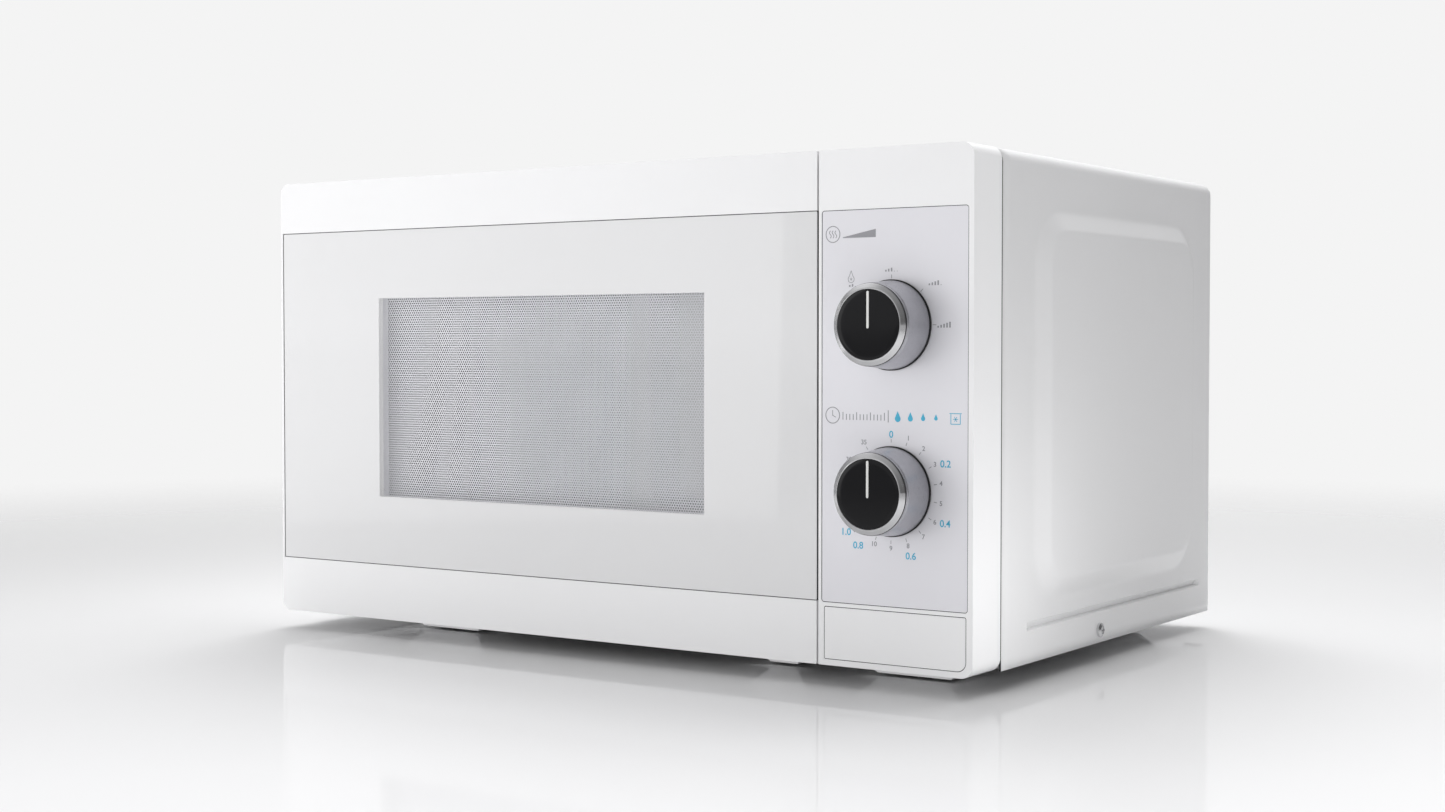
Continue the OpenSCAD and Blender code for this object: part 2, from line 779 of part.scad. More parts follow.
// Lever: hub, arm down to the button's rod, arm back and across to the hook's tip
lever_down = 32;
lever_tip = [14.5, 11];
lever_tip_w = 4;
lever_reach_x = 126.5;
module release_lever() color("ivory") {
    p = lever_pivot;
    tip = p + lever_tip - [lever_tip_w, lever_tip_w];
    difference() {
        union() {
            along_x(lever_x[0], lever_x[1] - lever_x[0]) {
                translate(p) circle(lever_hub_r);
                translate(p - [lever_half_t, lever_down]) square([2 * lever_half_t, lever_down]);
                polygon([
                    p + [-3, 5], p + [3, -5], p + [lever_tip[0], lever_tip[1] - lever_tip_w],
                    p + lever_tip, p + lever_tip - [lever_tip_w, 0]
                ]);
            }
            along_x(lever_reach_x, lever_x[0] - lever_reach_x + 1)
                translate(tip) square([lever_tip_w, lever_tip_w]);
        }
        rod_x(p, lever_x[0] - 1, lever_x[1] - lever_x[0] + 2, lever_bore_r);
    }
}

// Torsion spring around the pin, beside the lever's hub
lever_coil = [4.4, 4.6];
lever_wire = 0.4;
lever_turns = 4;
module lever_spring() color("silver")
    translate([lever_x[1] + 0.5, lever_pivot[0], lever_pivot[1]]) rotate([0, 90, 0])
        coil(lever_coil[0], lever_wire, lever_turns, lever_coil[1]);

// Board with a flange on the front plate, a catch below each hook, and pins for the switches
flange_x = [board_x[0] - 1, 153];
flange_t = 2;
catch_x = 123.5;
catch_y = plate_back + 1;
catch_size = [7, 4.6];
catch_drop = 3.4;
lever_pass = [[4, 2], [20, 20]];
module latch_board() color("ivory") {
    p = lever_pivot;
    difference() {
        union() {
            box([board_x[0], board_y[0], board_z[0]], [board_x[1], board_y[1], board_z[1]]);
            box([flange_x[0], board_y[0], board_z[0]], [flange_x[1], board_y[0] + flange_t, board_z[1]]);
            for (z = hook_z) {
                catch_z = z - hook_tip - catch_drop;
                box([catch_x, catch_y, catch_z - catch_size[1]],
                    [board_x[0] + 1, catch_y + catch_size[0], catch_z]);
            }
        }
        box([board_x[0] - 2, p[0] + lever_pass[0][0], p[1] + lever_pass[0][1]],
            [board_x[1] + 1, p[0] + lever_pass[1][0], p[1] + lever_pass[1][1]]);
        box([board_x[1] + 0.2, board_y[0] - 1, board_z[0] - 1],
            [flange_x[1] + 1, board_y[0] + flange_t + 1, p[1] + 10]);
        box([cut_x[0] + 2, board_y[0] - 1, cut_z[0]],
            [flange_x[1] + 1, board_y[0] + flange_t + 1, cut_z[1]]);
    }
    rod_x(p, board_x[1] - 1, lever_x[1] - board_x[1] + 7, lever_pin_r);
    for (s = switch_places) for (dz = switch_pin_z) {
        x = s[0] > 0 ? board_x[1] - 1 : board_x[0] - switch_size[0] + 1;
        rod_x([s[1] + switch_pin_y, s[2] + dz], x, switch_size[0], switch_pin_r);
    }
}

// Microswitches: [side of the board, low y, low z]
switch_y = hook_end + 4.2;
switch_drop = 4;
switch_places = [
    [-1, switch_y, hook_z[0] - switch_drop],
    [-1, switch_y, hook_z[1] - switch_drop],
    [1, switch_y, hook_z[0] - switch_drop]
];
switch_pin_y = 8;
switch_pin_z = [6, 22];
plunger = [3.3, 3, 3];
plunger_z = 7;
blade = [0.8, 8, 4.8];
blade_z = [2, 12, 22];
module door_switches() color("dimgray") {
    for (s = switch_places) {
        x = s[0] > 0 ? board_x[1] : board_x[0] - switch_size[0];
        mid = x + (switch_size[0] - plunger[0]) / 2;
        difference() {
            union() {
                translate([x, s[1], s[2]]) cube(switch_size);
                translate([mid, s[1] - 2, s[2] + plunger_z]) cube(plunger);
                for (dz = blade_z)
                    translate([mid, s[1] + switch_size[1] - 1, s[2] + dz]) cube(blade);
            }
            for (dz = switch_pin_z)
                rod_x([s[1] + switch_pin_y, s[2] + dz], x - 1, switch_size[0] + 2, switch_hole_r);
        }
    }
}

// ---- Knobs --------------------------------------------------------------------------------

// Knob skirt turned about Y: hollow behind, stepped rim for the cap in front, boss for the shaft
seat_d = 2.2;
seat_gap = 0.2;
skirt_web = 5;
boss_r = 6;
socket_l = 12;
flat_cut = 1.1;
module knob(at) {
    l = knob_stand - knob_gap;
    translate([at[0], front - knob_gap, at[1]]) rotate([90, 0, 0]) difference() {
        union() {
            rotate_extrude() polygon([
                [0, l - skirt_web], [0, l - seat_d],
                [cap_r + seat_gap, l - seat_d], [cap_r + seat_gap, l - 0.7],
                [cap_r + 0.6, l], [knob_front_r - 0.5, l],
                [knob_front_r, l - 0.6], [knob_front_r, l - 2.6],
                [knob_front_r - 0.3, l - 2.8], [knob_front_r - 0.3, l - 3.2],
                [knob_front_r + 0.1, l - 3.4], [knob_r, 0],
                [knob_r - knob_skin, 0], [knob_front_r - knob_skin, l - skirt_web]
            ]);
            translate([0, 0, 2]) cylinder(l - skirt_web - 1, boss_r, boss_r);
        }
        difference() {
            translate([0, 0, 1]) cylinder(socket_l, shaft_r, shaft_r);
            translate([-shaft_r, shaft_r - flat_cut, 4]) cube([2 * shaft_r, 2, socket_l + 2]);
        }
    }
}

// Disc in the knob's seat with a groove as its pointer
pointer_w = 1.4;
pointer_d = 0.4;
module knob_cap(at) {
    translate([at[0], front - knob_stand + seat_d, at[1]]) rotate([90, 0, 0]) difference() {
        cylinder(cap_t, cap_r, cap_r);
        translate([-pointer_w / 2, 0, cap_t - pointer_d]) cube([pointer_w, cap_r - 2, 1]);
    }
}

// Shaft with a flat where it sits in the knob
shaft_out = 12.5;
flat_l = 8;
shaft_play = 0.04;
module knob_shaft(at, y_end) {
    difference() {
        rod_y(at, front - shaft_out, y_end - front + shaft_out, shaft_r - shaft_play);
        translate([at[0] - shaft_r, front - shaft_out - 0.5, at[1] + shaft_r - flat_cut - shaft_play])
            cube([2 * shaft_r, flat_l + 0.5, 2]);
    }
}

module power_knob() color("silver") knob(power_at);
module power_knob_cap() color([0.05, 0.05, 0.06]) knob_cap(power_at);
module power_shaft() color("gray") knob_shaft(power_at, front + power_shaft_end);
module timer_knob() color("silver") knob(timer_at);
module timer_knob_cap() color([0.05, 0.05, 0.06]) knob_cap(timer_at);
module timer_shaft() color("gray") knob_shaft(timer_at, front + timer_shaft_end);

// Housings behind the control panel, with a bore that the shaft turns in
housing_y = front + 14.6;
neck_l = 4;
module housing(at, half, d) {
    difference() {
        union() {
            along_y(housing_y, d) rrect(at - half, at + half, even(3));
            rod_y(at, housing_y - neck_l, neck_l + 1, boss_r);
        }
        rod_y(at, housing_y - neck_l - 1, d + 2, shaft_bore_r);
    }
}

selector_d = 22;
timer_d = 34;
timer_motor_size = [14, 24];
module power_selector() color("ivory") housing(power_at, [22, 20], selector_d);
module timer_housing() color("ivory") housing(timer_at, [27, 27], timer_d);
module timer_motor() color("silver")
    rod_y(timer_at, housing_y + timer_d, timer_motor_size[0], timer_motor_size[1]);

// Bell shell above the timer
bell_at = [timer_at[0], housing_y + 18, timer_at[1] + 38.5];
bell_r = 10.5;
bell_t = 1;
module timer_bell() color("silver") translate(bell_at)
    rotate([-90, 0, 0]) rotate_extrude() difference() {
        intersection() {
            circle(bell_r);
            square(bell_r + 1);
        }
        circle(bell_r - bell_t);
    }

// ---- Electrical bay -----------------------------------------------------------------------

// Laminated core: outer block with two windows, standing on a mounting foot on each side
core_window = 14;
core_lug = 4;
core_base = 2;
mount_r = 2.1;
module transformer_core() color("dimgray") {
    lo = core_lo;
    hi = core_lo + core_size;
    mid = (lo[0] + hi[0]) / 2;
    half = core_window / 2;
    difference() {
        union() {
            box(lo, hi);
            box([lo[0] - core_feet, lo[1], lo[2]], [hi[0] + core_lug, hi[1], lo[2] + core_base]);
        }
        for (s = [-1, 1]) translate([mid + s * (core_leg + half), 0, 0])
            box([-half, lo[1] - 1, lo[2] + core_leg], [half, hi[1] + 1, hi[2] - core_leg]);
        for (y = [lo[1] + core_feet, hi[1] - core_feet])
            rod_z([lo[0] - core_feet / 2, y], lo[2] - 1, core_base + 2, mount_r);
    }
}

// Coil around the core's middle leg, showing at the front and the back
coil_gap = 0.4;
coil_t = 12.8;
module winding(z, h) {
    mid = core_lo[0] + core_size[0] / 2;
    lo = [mid - core_leg - coil_gap, core_lo[1] - coil_gap];
    hi = [mid + core_leg + coil_gap, core_lo[1] + core_size[1] + coil_gap];
    along_z(core_lo[2] + core_leg + z, h) difference() {
        rrect(lo - [coil_t, coil_t], hi + [coil_t, coil_t], even(6));
        rrect(lo, hi, even(0));
    }
}

module primary_winding() color("peru") winding(0.5, 19);
module secondary_winding() color("brown") winding(21, 18);

// Oval can with two insulated terminals
terminal_x = [16, 36];
terminal_h = 5;
terminal_r = 4.5;
terminal_tab = [6, 0.8, 9];
module capacitor() color("silver") {
    lo = can_lo;
    mid_y = lo[1] + can_size[1] / 2;
    lid_z = lo[2] + can_size[2];
    along_z(lo[2], can_size[2]) slot([lo[0], lo[1]], [lo[0] + can_size[0], lo[1] + can_size[1]]);
    for (x = terminal_x) {
        rod_z([lo[0] + x, mid_y], lid_z, terminal_h, terminal_r);
        translate([lo[0] + x - terminal_tab[0] / 2, mid_y - terminal_tab[1] / 2, lid_z + terminal_h - 1])
            cube(terminal_tab);
    }
}

// Strap around the can with a bracket down to the base plate
strap_t = 1;
strap_gap = 0.05;
strap_z = [30, 14];
bracket_out = 16;
bracket_in = 14;
bracket_foot = 26;
module capacitor_clamp() color("gainsboro") {
    lo = [can_lo[0], can_lo[1]];
    hi = lo + [can_size[0], can_size[1]];
    out = [strap_t, strap_t];
    gap = [strap_gap, strap_gap];
    y0 = hi[1] - bracket_in;
    difference() {
        union() {
            along_z(can_lo[2] + strap_z[0], strap_z[1]) slot(lo - out, hi + out);
            box([hi[0], y0, can_lo[2]],
                [hi[0] + bracket_out, y0 + strap_t, can_lo[2] + strap_z[0] + strap_z[1]]);
            box([hi[0] + 1, hi[1] - bracket_foot, can_lo[2]],
                [hi[0] + bracket_out, y0 + strap_t, can_lo[2] + strap_t]);
        }
        along_z(can_lo[2] - 1, can_size[2]) slot(lo - gap, hi + gap);
        rod_z([hi[0] + bracket_out / 2 + 1, hi[1] - 20], can_lo[2] - 1, strap_t + 2, mount_r);
    }
}

diode_at = [can_lo[0] + can_size[0] + 18, can_lo[2] + 36];
diode_y = can_lo[1] - 20;
diode_size = [26, 4];
diode_lead = [2, 9, 4];
module hv_diode() color([0.1, 0.1, 0.1]) {
    rod_y(diode_at, diode_y, diode_size[0], diode_size[1]);
    for (y = [diode_y - diode_lead[1] + 1, diode_y + diode_size[0] - 1])
        translate([diode_at[0] - diode_lead[0] / 2, y, diode_at[1] - diode_lead[2] / 2]) cube(diode_lead);
}

// Steel frame around the tube, open to the air at the front and the back
yoke_t = 1.5;
yoke_hole_r = 12;
module magnetron_yoke() color("silver") {
    c = mag_c;
    half = [0, mag_size[1] / 2, mag_size[2] / 2];
    end = c[0] + mag_size[0];
    difference() {
        box(c - half, c + half + [mag_size[0], 0, 0]);
        box([c[0] + yoke_t, c[1] - half[1] - 1, c[2] - half[2] + yoke_t],
            [end - yoke_t, c[1] + half[1] + 1, c[2] + half[2] - yoke_t]);
        for (x = [c[0], end - yoke_t]) rod_x([c[1], c[2]], x - 1, yoke_t + 2, yoke_hole_r);
    }
}

// Anode cylinder, antenna through the yoke into the waveguide, and the filament's end
anode_r = 17;
antenna = [22, 7];
module magnetron_tube() color("indianred") {
    at = [mag_c[1], mag_c[2]];
    rod_x(at, mag_c[0] + yoke_t, mag_size[0] - 2 * yoke_t, anode_r);
    rod_x(at, mag_c[0] - 3, 6, yoke_hole_r - 0.5);
    rod_x(at, mag_c[0] - antenna[0], antenna[0], antenna[1]);
    rod_x(at, mag_c[0] + mag_size[0] - 2, 8, 9);
}

fins = 6;
fin_t = 0.6;
fin_pitch = 3.4;
fin_x = 12.4;
module magnetron_fins() color("lightgray") {
    half = [mag_size[1] / 2 - 1, mag_size[2] / 2 - 2];
    at = [mag_c[1], mag_c[2]];
    for (i = [0:fins - 1]) along_x(mag_c[0] + fin_x + fin_pitch * i, fin_t) difference() {
        rrect(at - half, at + half, even(1));
        translate(at) circle(anode_r + 0.05);
    }
}

// Shielded box over the filament's end, with the socket for its leads
filter_d = 20;
filter_half = 24;
filter_t = 1;
filter_socket = [8, 8, 10];
module magnetron_filter_box() color("gainsboro") {
    at = [mag_c[0] + mag_size[0], mag_c[1], mag_c[2]];
    half = [0, filter_half, filter_half];
    wall = [filter_t, filter_t, filter_t];
    difference() {
        box(at - half, at + half + [filter_d, 0, 0]);
        box(at - half + wall - [2 * filter_t, 0, 0], at + half + [filter_d, 0, 0] - wall);
    }
    translate(at + [6, filter_half, -12]) cube(filter_socket);
}

// Square shroud on the back panel with a round opening for the fan
shroud_half = [44, 44];
shroud_t = 2;
shroud_y = fan_y[0] + 12;
post_at = 43;
post_size = [18, 2.5];
module fan_shroud() color("ivory") {
    at = fan_at;
    y1 = back_y - 0.2;
    difference() {
        union() {
            along_y(y1 - shroud_t, shroud_t) rrect(at - shroud_half, at + shroud_half, even(4));
            rod_y(at, shroud_y, y1 - shroud_y, fan_r + 2 * shroud_t);
        }
        rod_y(at, shroud_y - 1, y1 - shroud_y + 2, fan_r + shroud_t);
    }
    for (a = [45, 135, 225, 315])
        rod_y(at + post_at * [cos(a), sin(a)], fan_y[0] - 4, post_size[0], post_size[1]);
}

// Shaded-pole motor: lamination frame with a coil, and a plate on the shroud's posts
motor_y = fan_y[0] - 24;
motor_d = 16;
motor_plate_t = 4;
motor_half = [28, 22];
motor_plate_half = [31, 31];
motor_bore_r = 3.05;
coil_slot = [[10, -14], [20, 14]];
coil_inset = [0.5, 0.5];
module fan_motor() color("gray") {
    at = fan_at;
    difference() {
        union() {
            along_y(motor_y, motor_d) rrect(at - motor_half, at + motor_half, even(2));
            along_y(motor_y + motor_d, motor_plate_t)
                rrect(at - motor_plate_half, at + motor_plate_half, even(4));
        }
        rod_y(at, motor_y - 1, motor_d + motor_plate_t + 2, motor_bore_r);
        along_y(motor_y - 1, motor_d + 1) rrect(at + coil_slot[0], at + coil_slot[1], even(1));
    }
    along_y(motor_y + 1.5, motor_d - 3)
        rrect(at + coil_slot[0] + coil_inset, at + coil_slot[1] - coil_inset, even(3));
}

// Rotor: shaft, hub and pitched blades
blades = 5;
blade_pitch = 32;
blade_t = 1.4;
blade_w = 26;
blade_root = 10;
hub_size = [16, 12];
hub_hollow = [6, 9];
rotor_l = 34;
module fan_blade() color("lightgray") {
    at = fan_at;
    rod_y(at, fan_y[0] - 22, rotor_l, shaft_r);
    translate([at[0], fan_y[0] + 2, at[1]]) rotate([-90, 0, 0]) {
        difference() {
            cylinder(hub_size[0], hub_size[1], hub_size[1]);
            translate([0, 0, hub_size[0] - hub_hollow[0]])
                cylinder(hub_hollow[0] + 2, hub_hollow[1], hub_hollow[1]);
        }
        for (i = [0:blades - 1])
            rotate(360 * i / blades) translate([blade_root, 0, hub_size[0] / 2]) rotate([blade_pitch, 0, 0])
                linear_extrude(blade_t, center = true) intersection() {
                    translate([0, -blade_w / 2]) square([fan_r - blade_root - 1, blade_w]);
                    translate([-blade_root, 0]) circle(fan_r - 0.6);
                }
    }
}

// ---- Turntable ----------------------------------------------------------------------------

wheel_r = 8;
wheel_z = floor_z + wheel_r + 0.05;
tray_z = floor_z + 2 * wheel_r + 0.15;
lobes = 3;

motor_case = [16, 24.5];
motor_ears = [62, 10, 2];
motor_neck = [4, 5];
module turntable_motor() color("silver") {
    z1 = floor_z - sheet;
    rod_z(table_xy, z1 - motor_case[0], motor_case[0], motor_case[1]);
    translate([table_xy[0] - motor_ears[0] / 2, table_xy[1] - motor_ears[1] / 2, z1 - motor_ears[2]])
        cube(motor_ears);
    rod_z(table_xy, z1 - 1, motor_neck[0], motor_neck[1]);
}

// Post with lobes that push the tray's lugs
post_r = 6;
post_z = floor_z + 2.8;
lobe_z = tray_z - 7;
lobe_size = [14, 6];
module turntable_coupler() color("white") {
    rod_z(table_xy, post_z, lobe_z - post_z, post_r);
    along_z(lobe_z, 6.6) translate(table_xy) {
        circle(post_r);
        for (i = [0:lobes - 1])
            rotate(360 * i / lobes) translate([0, -lobe_size[1] / 2]) square(lobe_size);
    }
}

// Ring that carries three rollers on radial pins
hoop = [ring_r - 12, ring_r - 5];
hoop_h = 6;
pin_r = 1.6;
pin_bore_r = 1.66;
pin_l = 10;
wheel_w = 7;
wheel_hub = [2, 4];
module on_ring(i) translate([table_xy[0], table_xy[1], wheel_z])
    rotate(90 + 120 * i) rotate([0, 90, 0]) children();

module roller_ring() color("white") {
    translate([table_xy[0], table_xy[1], wheel_z]) difference() {
        translate([0, 0, -hoop_h / 2]) cylinder(hoop_h, hoop[1], hoop[1], $fn = 128);
        translate([0, 0, -hoop_h]) cylinder(2 * hoop_h, hoop[0], hoop[0], $fn = 128);
    }
    for (i = [0:2]) on_ring(i) translate([0, 0, hoop[1] - 1]) cylinder(pin_l, pin_r, pin_r);
}

module roller(i) on_ring(i) translate([0, 0, hoop[1] + 0.5]) difference() {
    union() {
        cylinder(wheel_w, wheel_r, wheel_r);
        translate([0, 0, wheel_w - 1]) cylinder(wheel_hub[0], wheel_hub[1], wheel_hub[1]);
    }
    translate([0, 0, -1]) cylinder(wheel_w + 3, pin_bore_r, pin_bore_r);
}
module roller_a() color("gainsboro") roller(0);
module roller_b() color("gainsboro") roller(1);
module roller_c() color("gainsboro") roller(2);

// Shallow glass dish with three lugs below that the coupler's lobes push
dish_t = 4.5;
lug_at = [11, 0, -2.6];
lug_size = [3, 3.2];
module glass_tray() color("lightcyan", 0.5) translate([table_xy[0], table_xy[1], tray_z]) {
    rotate_extrude($fn = 128) polygon([
        [0, 0], [tray_r - 26, 0], [tray_r - 12, 1.5], [tray_r - 1.5, 10],
        [tray_r, 12], [tray_r - 1, 13.5], [tray_r - 4.5, 13],
        [tray_r - 14, dish_t + 1.5], [tray_r - 27, dish_t], [0, dish_t]
    ]);
    for (i = [0:lobes - 1]) rotate(60 + 360 * i / lobes) translate(lug_at)
        cylinder(lug_size[0], lug_size[1], lug_size[1]);
}

// ---- Small electrical parts ---------------------------------------------------------------

// Round bulb with a neck in its socket, along X
bulb_r = 8.5;
bulb_neck = [6, 14];
bulb_socket = [9, 12];
module lamp() color("khaki")
    translate([cav_x[1] + sheet + 2, lamp_at[0], lamp_at[1]]) rotate([0, 90, 0]) rotate_extrude() {
        intersection() {
            translate([0, bulb_r]) circle(bulb_r);
            square([bulb_r, 2 * bulb_r]);
        }
        translate([0, bulb_r]) square(bulb_neck);
        translate([0, bulb_r + bulb_neck[1] - 2]) square(bulb_socket);
    }

// Mains filter board on four posts, with a choke, a fuse and a capacitor
filter_lo = [120, rear - 20, bot + 196];
filter_board_size = [56, 1.6, 30];
filter_posts = [[5, 5], [51, 5], [5, 25], [51, 25]];
choke_coil = [13, 9];
module filter_board() color("seagreen") {
    lo = filter_lo;
    box(lo, lo + filter_board_size);
    for (p = filter_posts) rod_y([lo[0] + p[0], lo[2] + p[1]], lo[1] + 1, back_y - lo[1] - 1.2, 2.5);
    rod_y([lo[0] + 16, lo[2] + 15], lo[1] + 1 - choke_coil[0], choke_coil[0], choke_coil[1]);
    box(lo + [30, -9, 4], lo + [36, 1, 26]);
    box(lo + [41, -11, 8], lo + [53, 1, 24]);
}

// Disc thermostat on the magnetron's top, with a flange and two blades
cutout_size = [6, 8];
cutout_flange = [24, 12, 0.8];
cutout_blade = [4.8, 0.8, 8];
module thermal_cutout() color([0.15, 0.15, 0.15]) {
    at = [mag_c[0] + mag_size[0] / 2, mag_c[1]];
    z = mag_c[2] + mag_size[2] / 2;
    rod_z(at, z, cutout_size[0], cutout_size[1]);
    translate([at[0] - cutout_flange[0] / 2, at[1] - cutout_flange[1] / 2, z]) cube(cutout_flange);
    for (x = [-4, 4])
        translate([at[0] + x - cutout_blade[0] / 2, at[1] - cutout_blade[1] / 2, z + cutout_size[0] - 1])
            cube(cutout_blade);
}

// Insulated leads along their routes; the points are corners that the leads round off
lead_hv = [[168, front + 160, bot + 48], [176, front + 166, bot + 56], [190, front + 168, bot + 84],
    [198, front + 166, bot + 110], [200, front + 160, bot + 128], [201, front + 152, bot + 140],
    [201, front + 146, bot + 149]];
lead_can = [[148, front + 163, bot + 50], [146, front + 168, bot + 70], [144, front + 172, bot + 100],
    [142, front + 182, bot + 113], [142, front + 192, bot + 111]];
lead_fan = [[196, front + 214, bot + 132], [206, front + 216, bot + 140], [208, front + 222, bot + 170],
    [207, front + 236, bot + 190], [200, front + 252, bot + 204], [186, front + 262, bot + 206]];

// Points along a smooth curve through a route's corners
function smooth(p, n) = [
    for (i = [0:len(p) - 2], k = [0:n - 1])
        let (a = p[max(i - 1, 0)], b = p[i], c = p[i + 1], d = p[min(i + 2, len(p) - 1)], t = k / n)
            0.5 * (2 * b + (c - a) * t + (2 * a - 5 * b + 4 * c - d) * t * t
                + (3 * b - a - 3 * c + d) * t * t * t),
    p[len(p) - 1]
];

module wiring() color("firebrick")
    for (route = [lead_hv, lead_can, lead_fan]) sweep(smooth(route, 4), 1.5, 8);

outer_casing();
base_plate();
foot_pads();
back_panel();
cord_gland();
casing_screws();
front_plate();
oven_cavity();
waveguide();
waveguide_cover();
door_hinges();
door_frame();
door_glass();
door_screen();
door_choke_frame();
door_choke_cover();
door_inner_film();
latch_hooks();
latch_spring();
control_panel();
control_plate();
open_button();
release_lever();
lever_spring();
latch_board();
door_switches();
power_knob();
power_knob_cap();
power_shaft();
power_selector();
timer_knob();
timer_knob_cap();
timer_shaft();
timer_housing();
timer_motor();
timer_bell();
transformer_core();
primary_winding();
secondary_winding();
capacitor();
capacitor_clamp();
hv_diode();
magnetron_yoke();
magnetron_tube();
magnetron_fins();
magnetron_filter_box();
fan_shroud();
fan_motor();
fan_blade();
turntable_motor();
turntable_coupler();
roller_ring();
roller_a();
roller_b();
roller_c();
glass_tray();
lamp();
filter_board();
thermal_cutout();
wiring();
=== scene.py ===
"""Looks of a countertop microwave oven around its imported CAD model. Metres, +Z up, front towards -Y."""
import json
import math

import bmesh
import bpy
from mathutils import Matrix, Vector
from mathutils.geometry import tessellate_polygon


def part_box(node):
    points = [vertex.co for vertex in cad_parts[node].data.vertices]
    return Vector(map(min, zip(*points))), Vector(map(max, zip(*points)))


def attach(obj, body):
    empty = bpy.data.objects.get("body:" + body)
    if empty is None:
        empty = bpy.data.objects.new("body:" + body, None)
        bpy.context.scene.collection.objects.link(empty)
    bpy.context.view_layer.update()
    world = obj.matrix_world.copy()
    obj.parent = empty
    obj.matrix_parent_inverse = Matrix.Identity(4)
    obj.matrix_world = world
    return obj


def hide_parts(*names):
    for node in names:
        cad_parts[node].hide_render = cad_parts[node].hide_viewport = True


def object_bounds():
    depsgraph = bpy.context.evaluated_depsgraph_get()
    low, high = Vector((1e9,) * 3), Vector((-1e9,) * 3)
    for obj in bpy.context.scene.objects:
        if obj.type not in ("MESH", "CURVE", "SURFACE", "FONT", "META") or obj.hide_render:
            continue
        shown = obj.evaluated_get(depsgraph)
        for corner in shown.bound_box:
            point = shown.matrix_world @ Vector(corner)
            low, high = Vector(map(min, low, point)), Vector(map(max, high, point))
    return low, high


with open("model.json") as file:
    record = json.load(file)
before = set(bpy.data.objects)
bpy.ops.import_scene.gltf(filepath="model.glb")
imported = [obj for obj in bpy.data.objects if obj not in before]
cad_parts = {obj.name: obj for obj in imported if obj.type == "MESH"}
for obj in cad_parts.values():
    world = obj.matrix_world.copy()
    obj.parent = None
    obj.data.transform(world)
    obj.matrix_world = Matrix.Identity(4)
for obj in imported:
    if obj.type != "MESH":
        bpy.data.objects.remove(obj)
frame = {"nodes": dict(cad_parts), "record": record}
cad_lo, cad_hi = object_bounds()

MM = 0.001
SCENE = bpy.context.scene
NODES = frame["nodes"]
RECORD = frame["record"]
SLOT_OF = {part["node"]: part["material_slot"] for part in RECORD["subparts"]}

door_lo, door_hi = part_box("door_frame")
panel_lo, panel_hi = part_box("control_panel")
glass_lo, glass_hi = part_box("door_glass")
plate_lo, plate_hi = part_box("control_plate")
button_lo, button_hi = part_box("open_button")
screen_lo, screen_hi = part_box("door_screen")
casing_lo, casing_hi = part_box("outer_casing")
FRONT = door_lo.y
BOTTOM = door_lo.z
HALF_W = panel_hi.x

# ---- Camera and lights ------------------------------------------------------------------------


LENS, SENSOR = 50.46, 36    # mm, from the camera fit
CAMERA_AT = (0.63648, FRONT - 0.81342, BOTTOM + 0.15009)
LOOKS_DOWN, TURNED = 1.691, 34.194      # degrees


def make_camera():
    """A 50 mm view from the oven's right, at about the height of its upper knob."""
    data = bpy.data.cameras.new("view")
    data.lens = LENS
    data.sensor_width = SENSOR
    data.clip_end = 60
    cam = bpy.data.objects.new("view", data)
    cam.location = CAMERA_AT
    cam.rotation_euler = (math.radians(90 - LOOKS_DOWN), 0, math.radians(TURNED))
    SCENE.collection.objects.link(cam)
    SCENE.camera = cam


def area_light(name, at, target, size, power):
    """Rectangular softbox at a point, facing another; the camera does not see it."""
    data = bpy.data.lights.new(name, "AREA")
    data.shape = "RECTANGLE"
    data.size, data.size_y = size
    data.energy = power
    light = bpy.data.objects.new(name, data)
    light.location = at
    light.rotation_euler = (Vector(target) - Vector(at)).to_track_quat("-Z", "Y").to_euler()
    light.visible_camera = False
    SCENE.collection.objects.link(light)
    return light


BACKDROP = 0.905    # linear grey of the backdrop
AMBIENT = 0.12      # linear grey all around the object
FLOOR_GLOW = 0.50   # linear grey of the floor beyond the modelled one, as it lights the object
DOME_TINT = (0.99, 0.99, 1.0)
HORIZON = 0.01      # half width of the soft step at the horizon
# soft regions of the dome: direction, brightness at its middle, cosine where it starts
LOBES = [
    ((-0.50, -0.85, 0.10), 0.75, 0.25),     # low, front left
    ((-0.22, 0.50, 0.84), 2.12, 0.50),      # high, behind, a little to the left
]


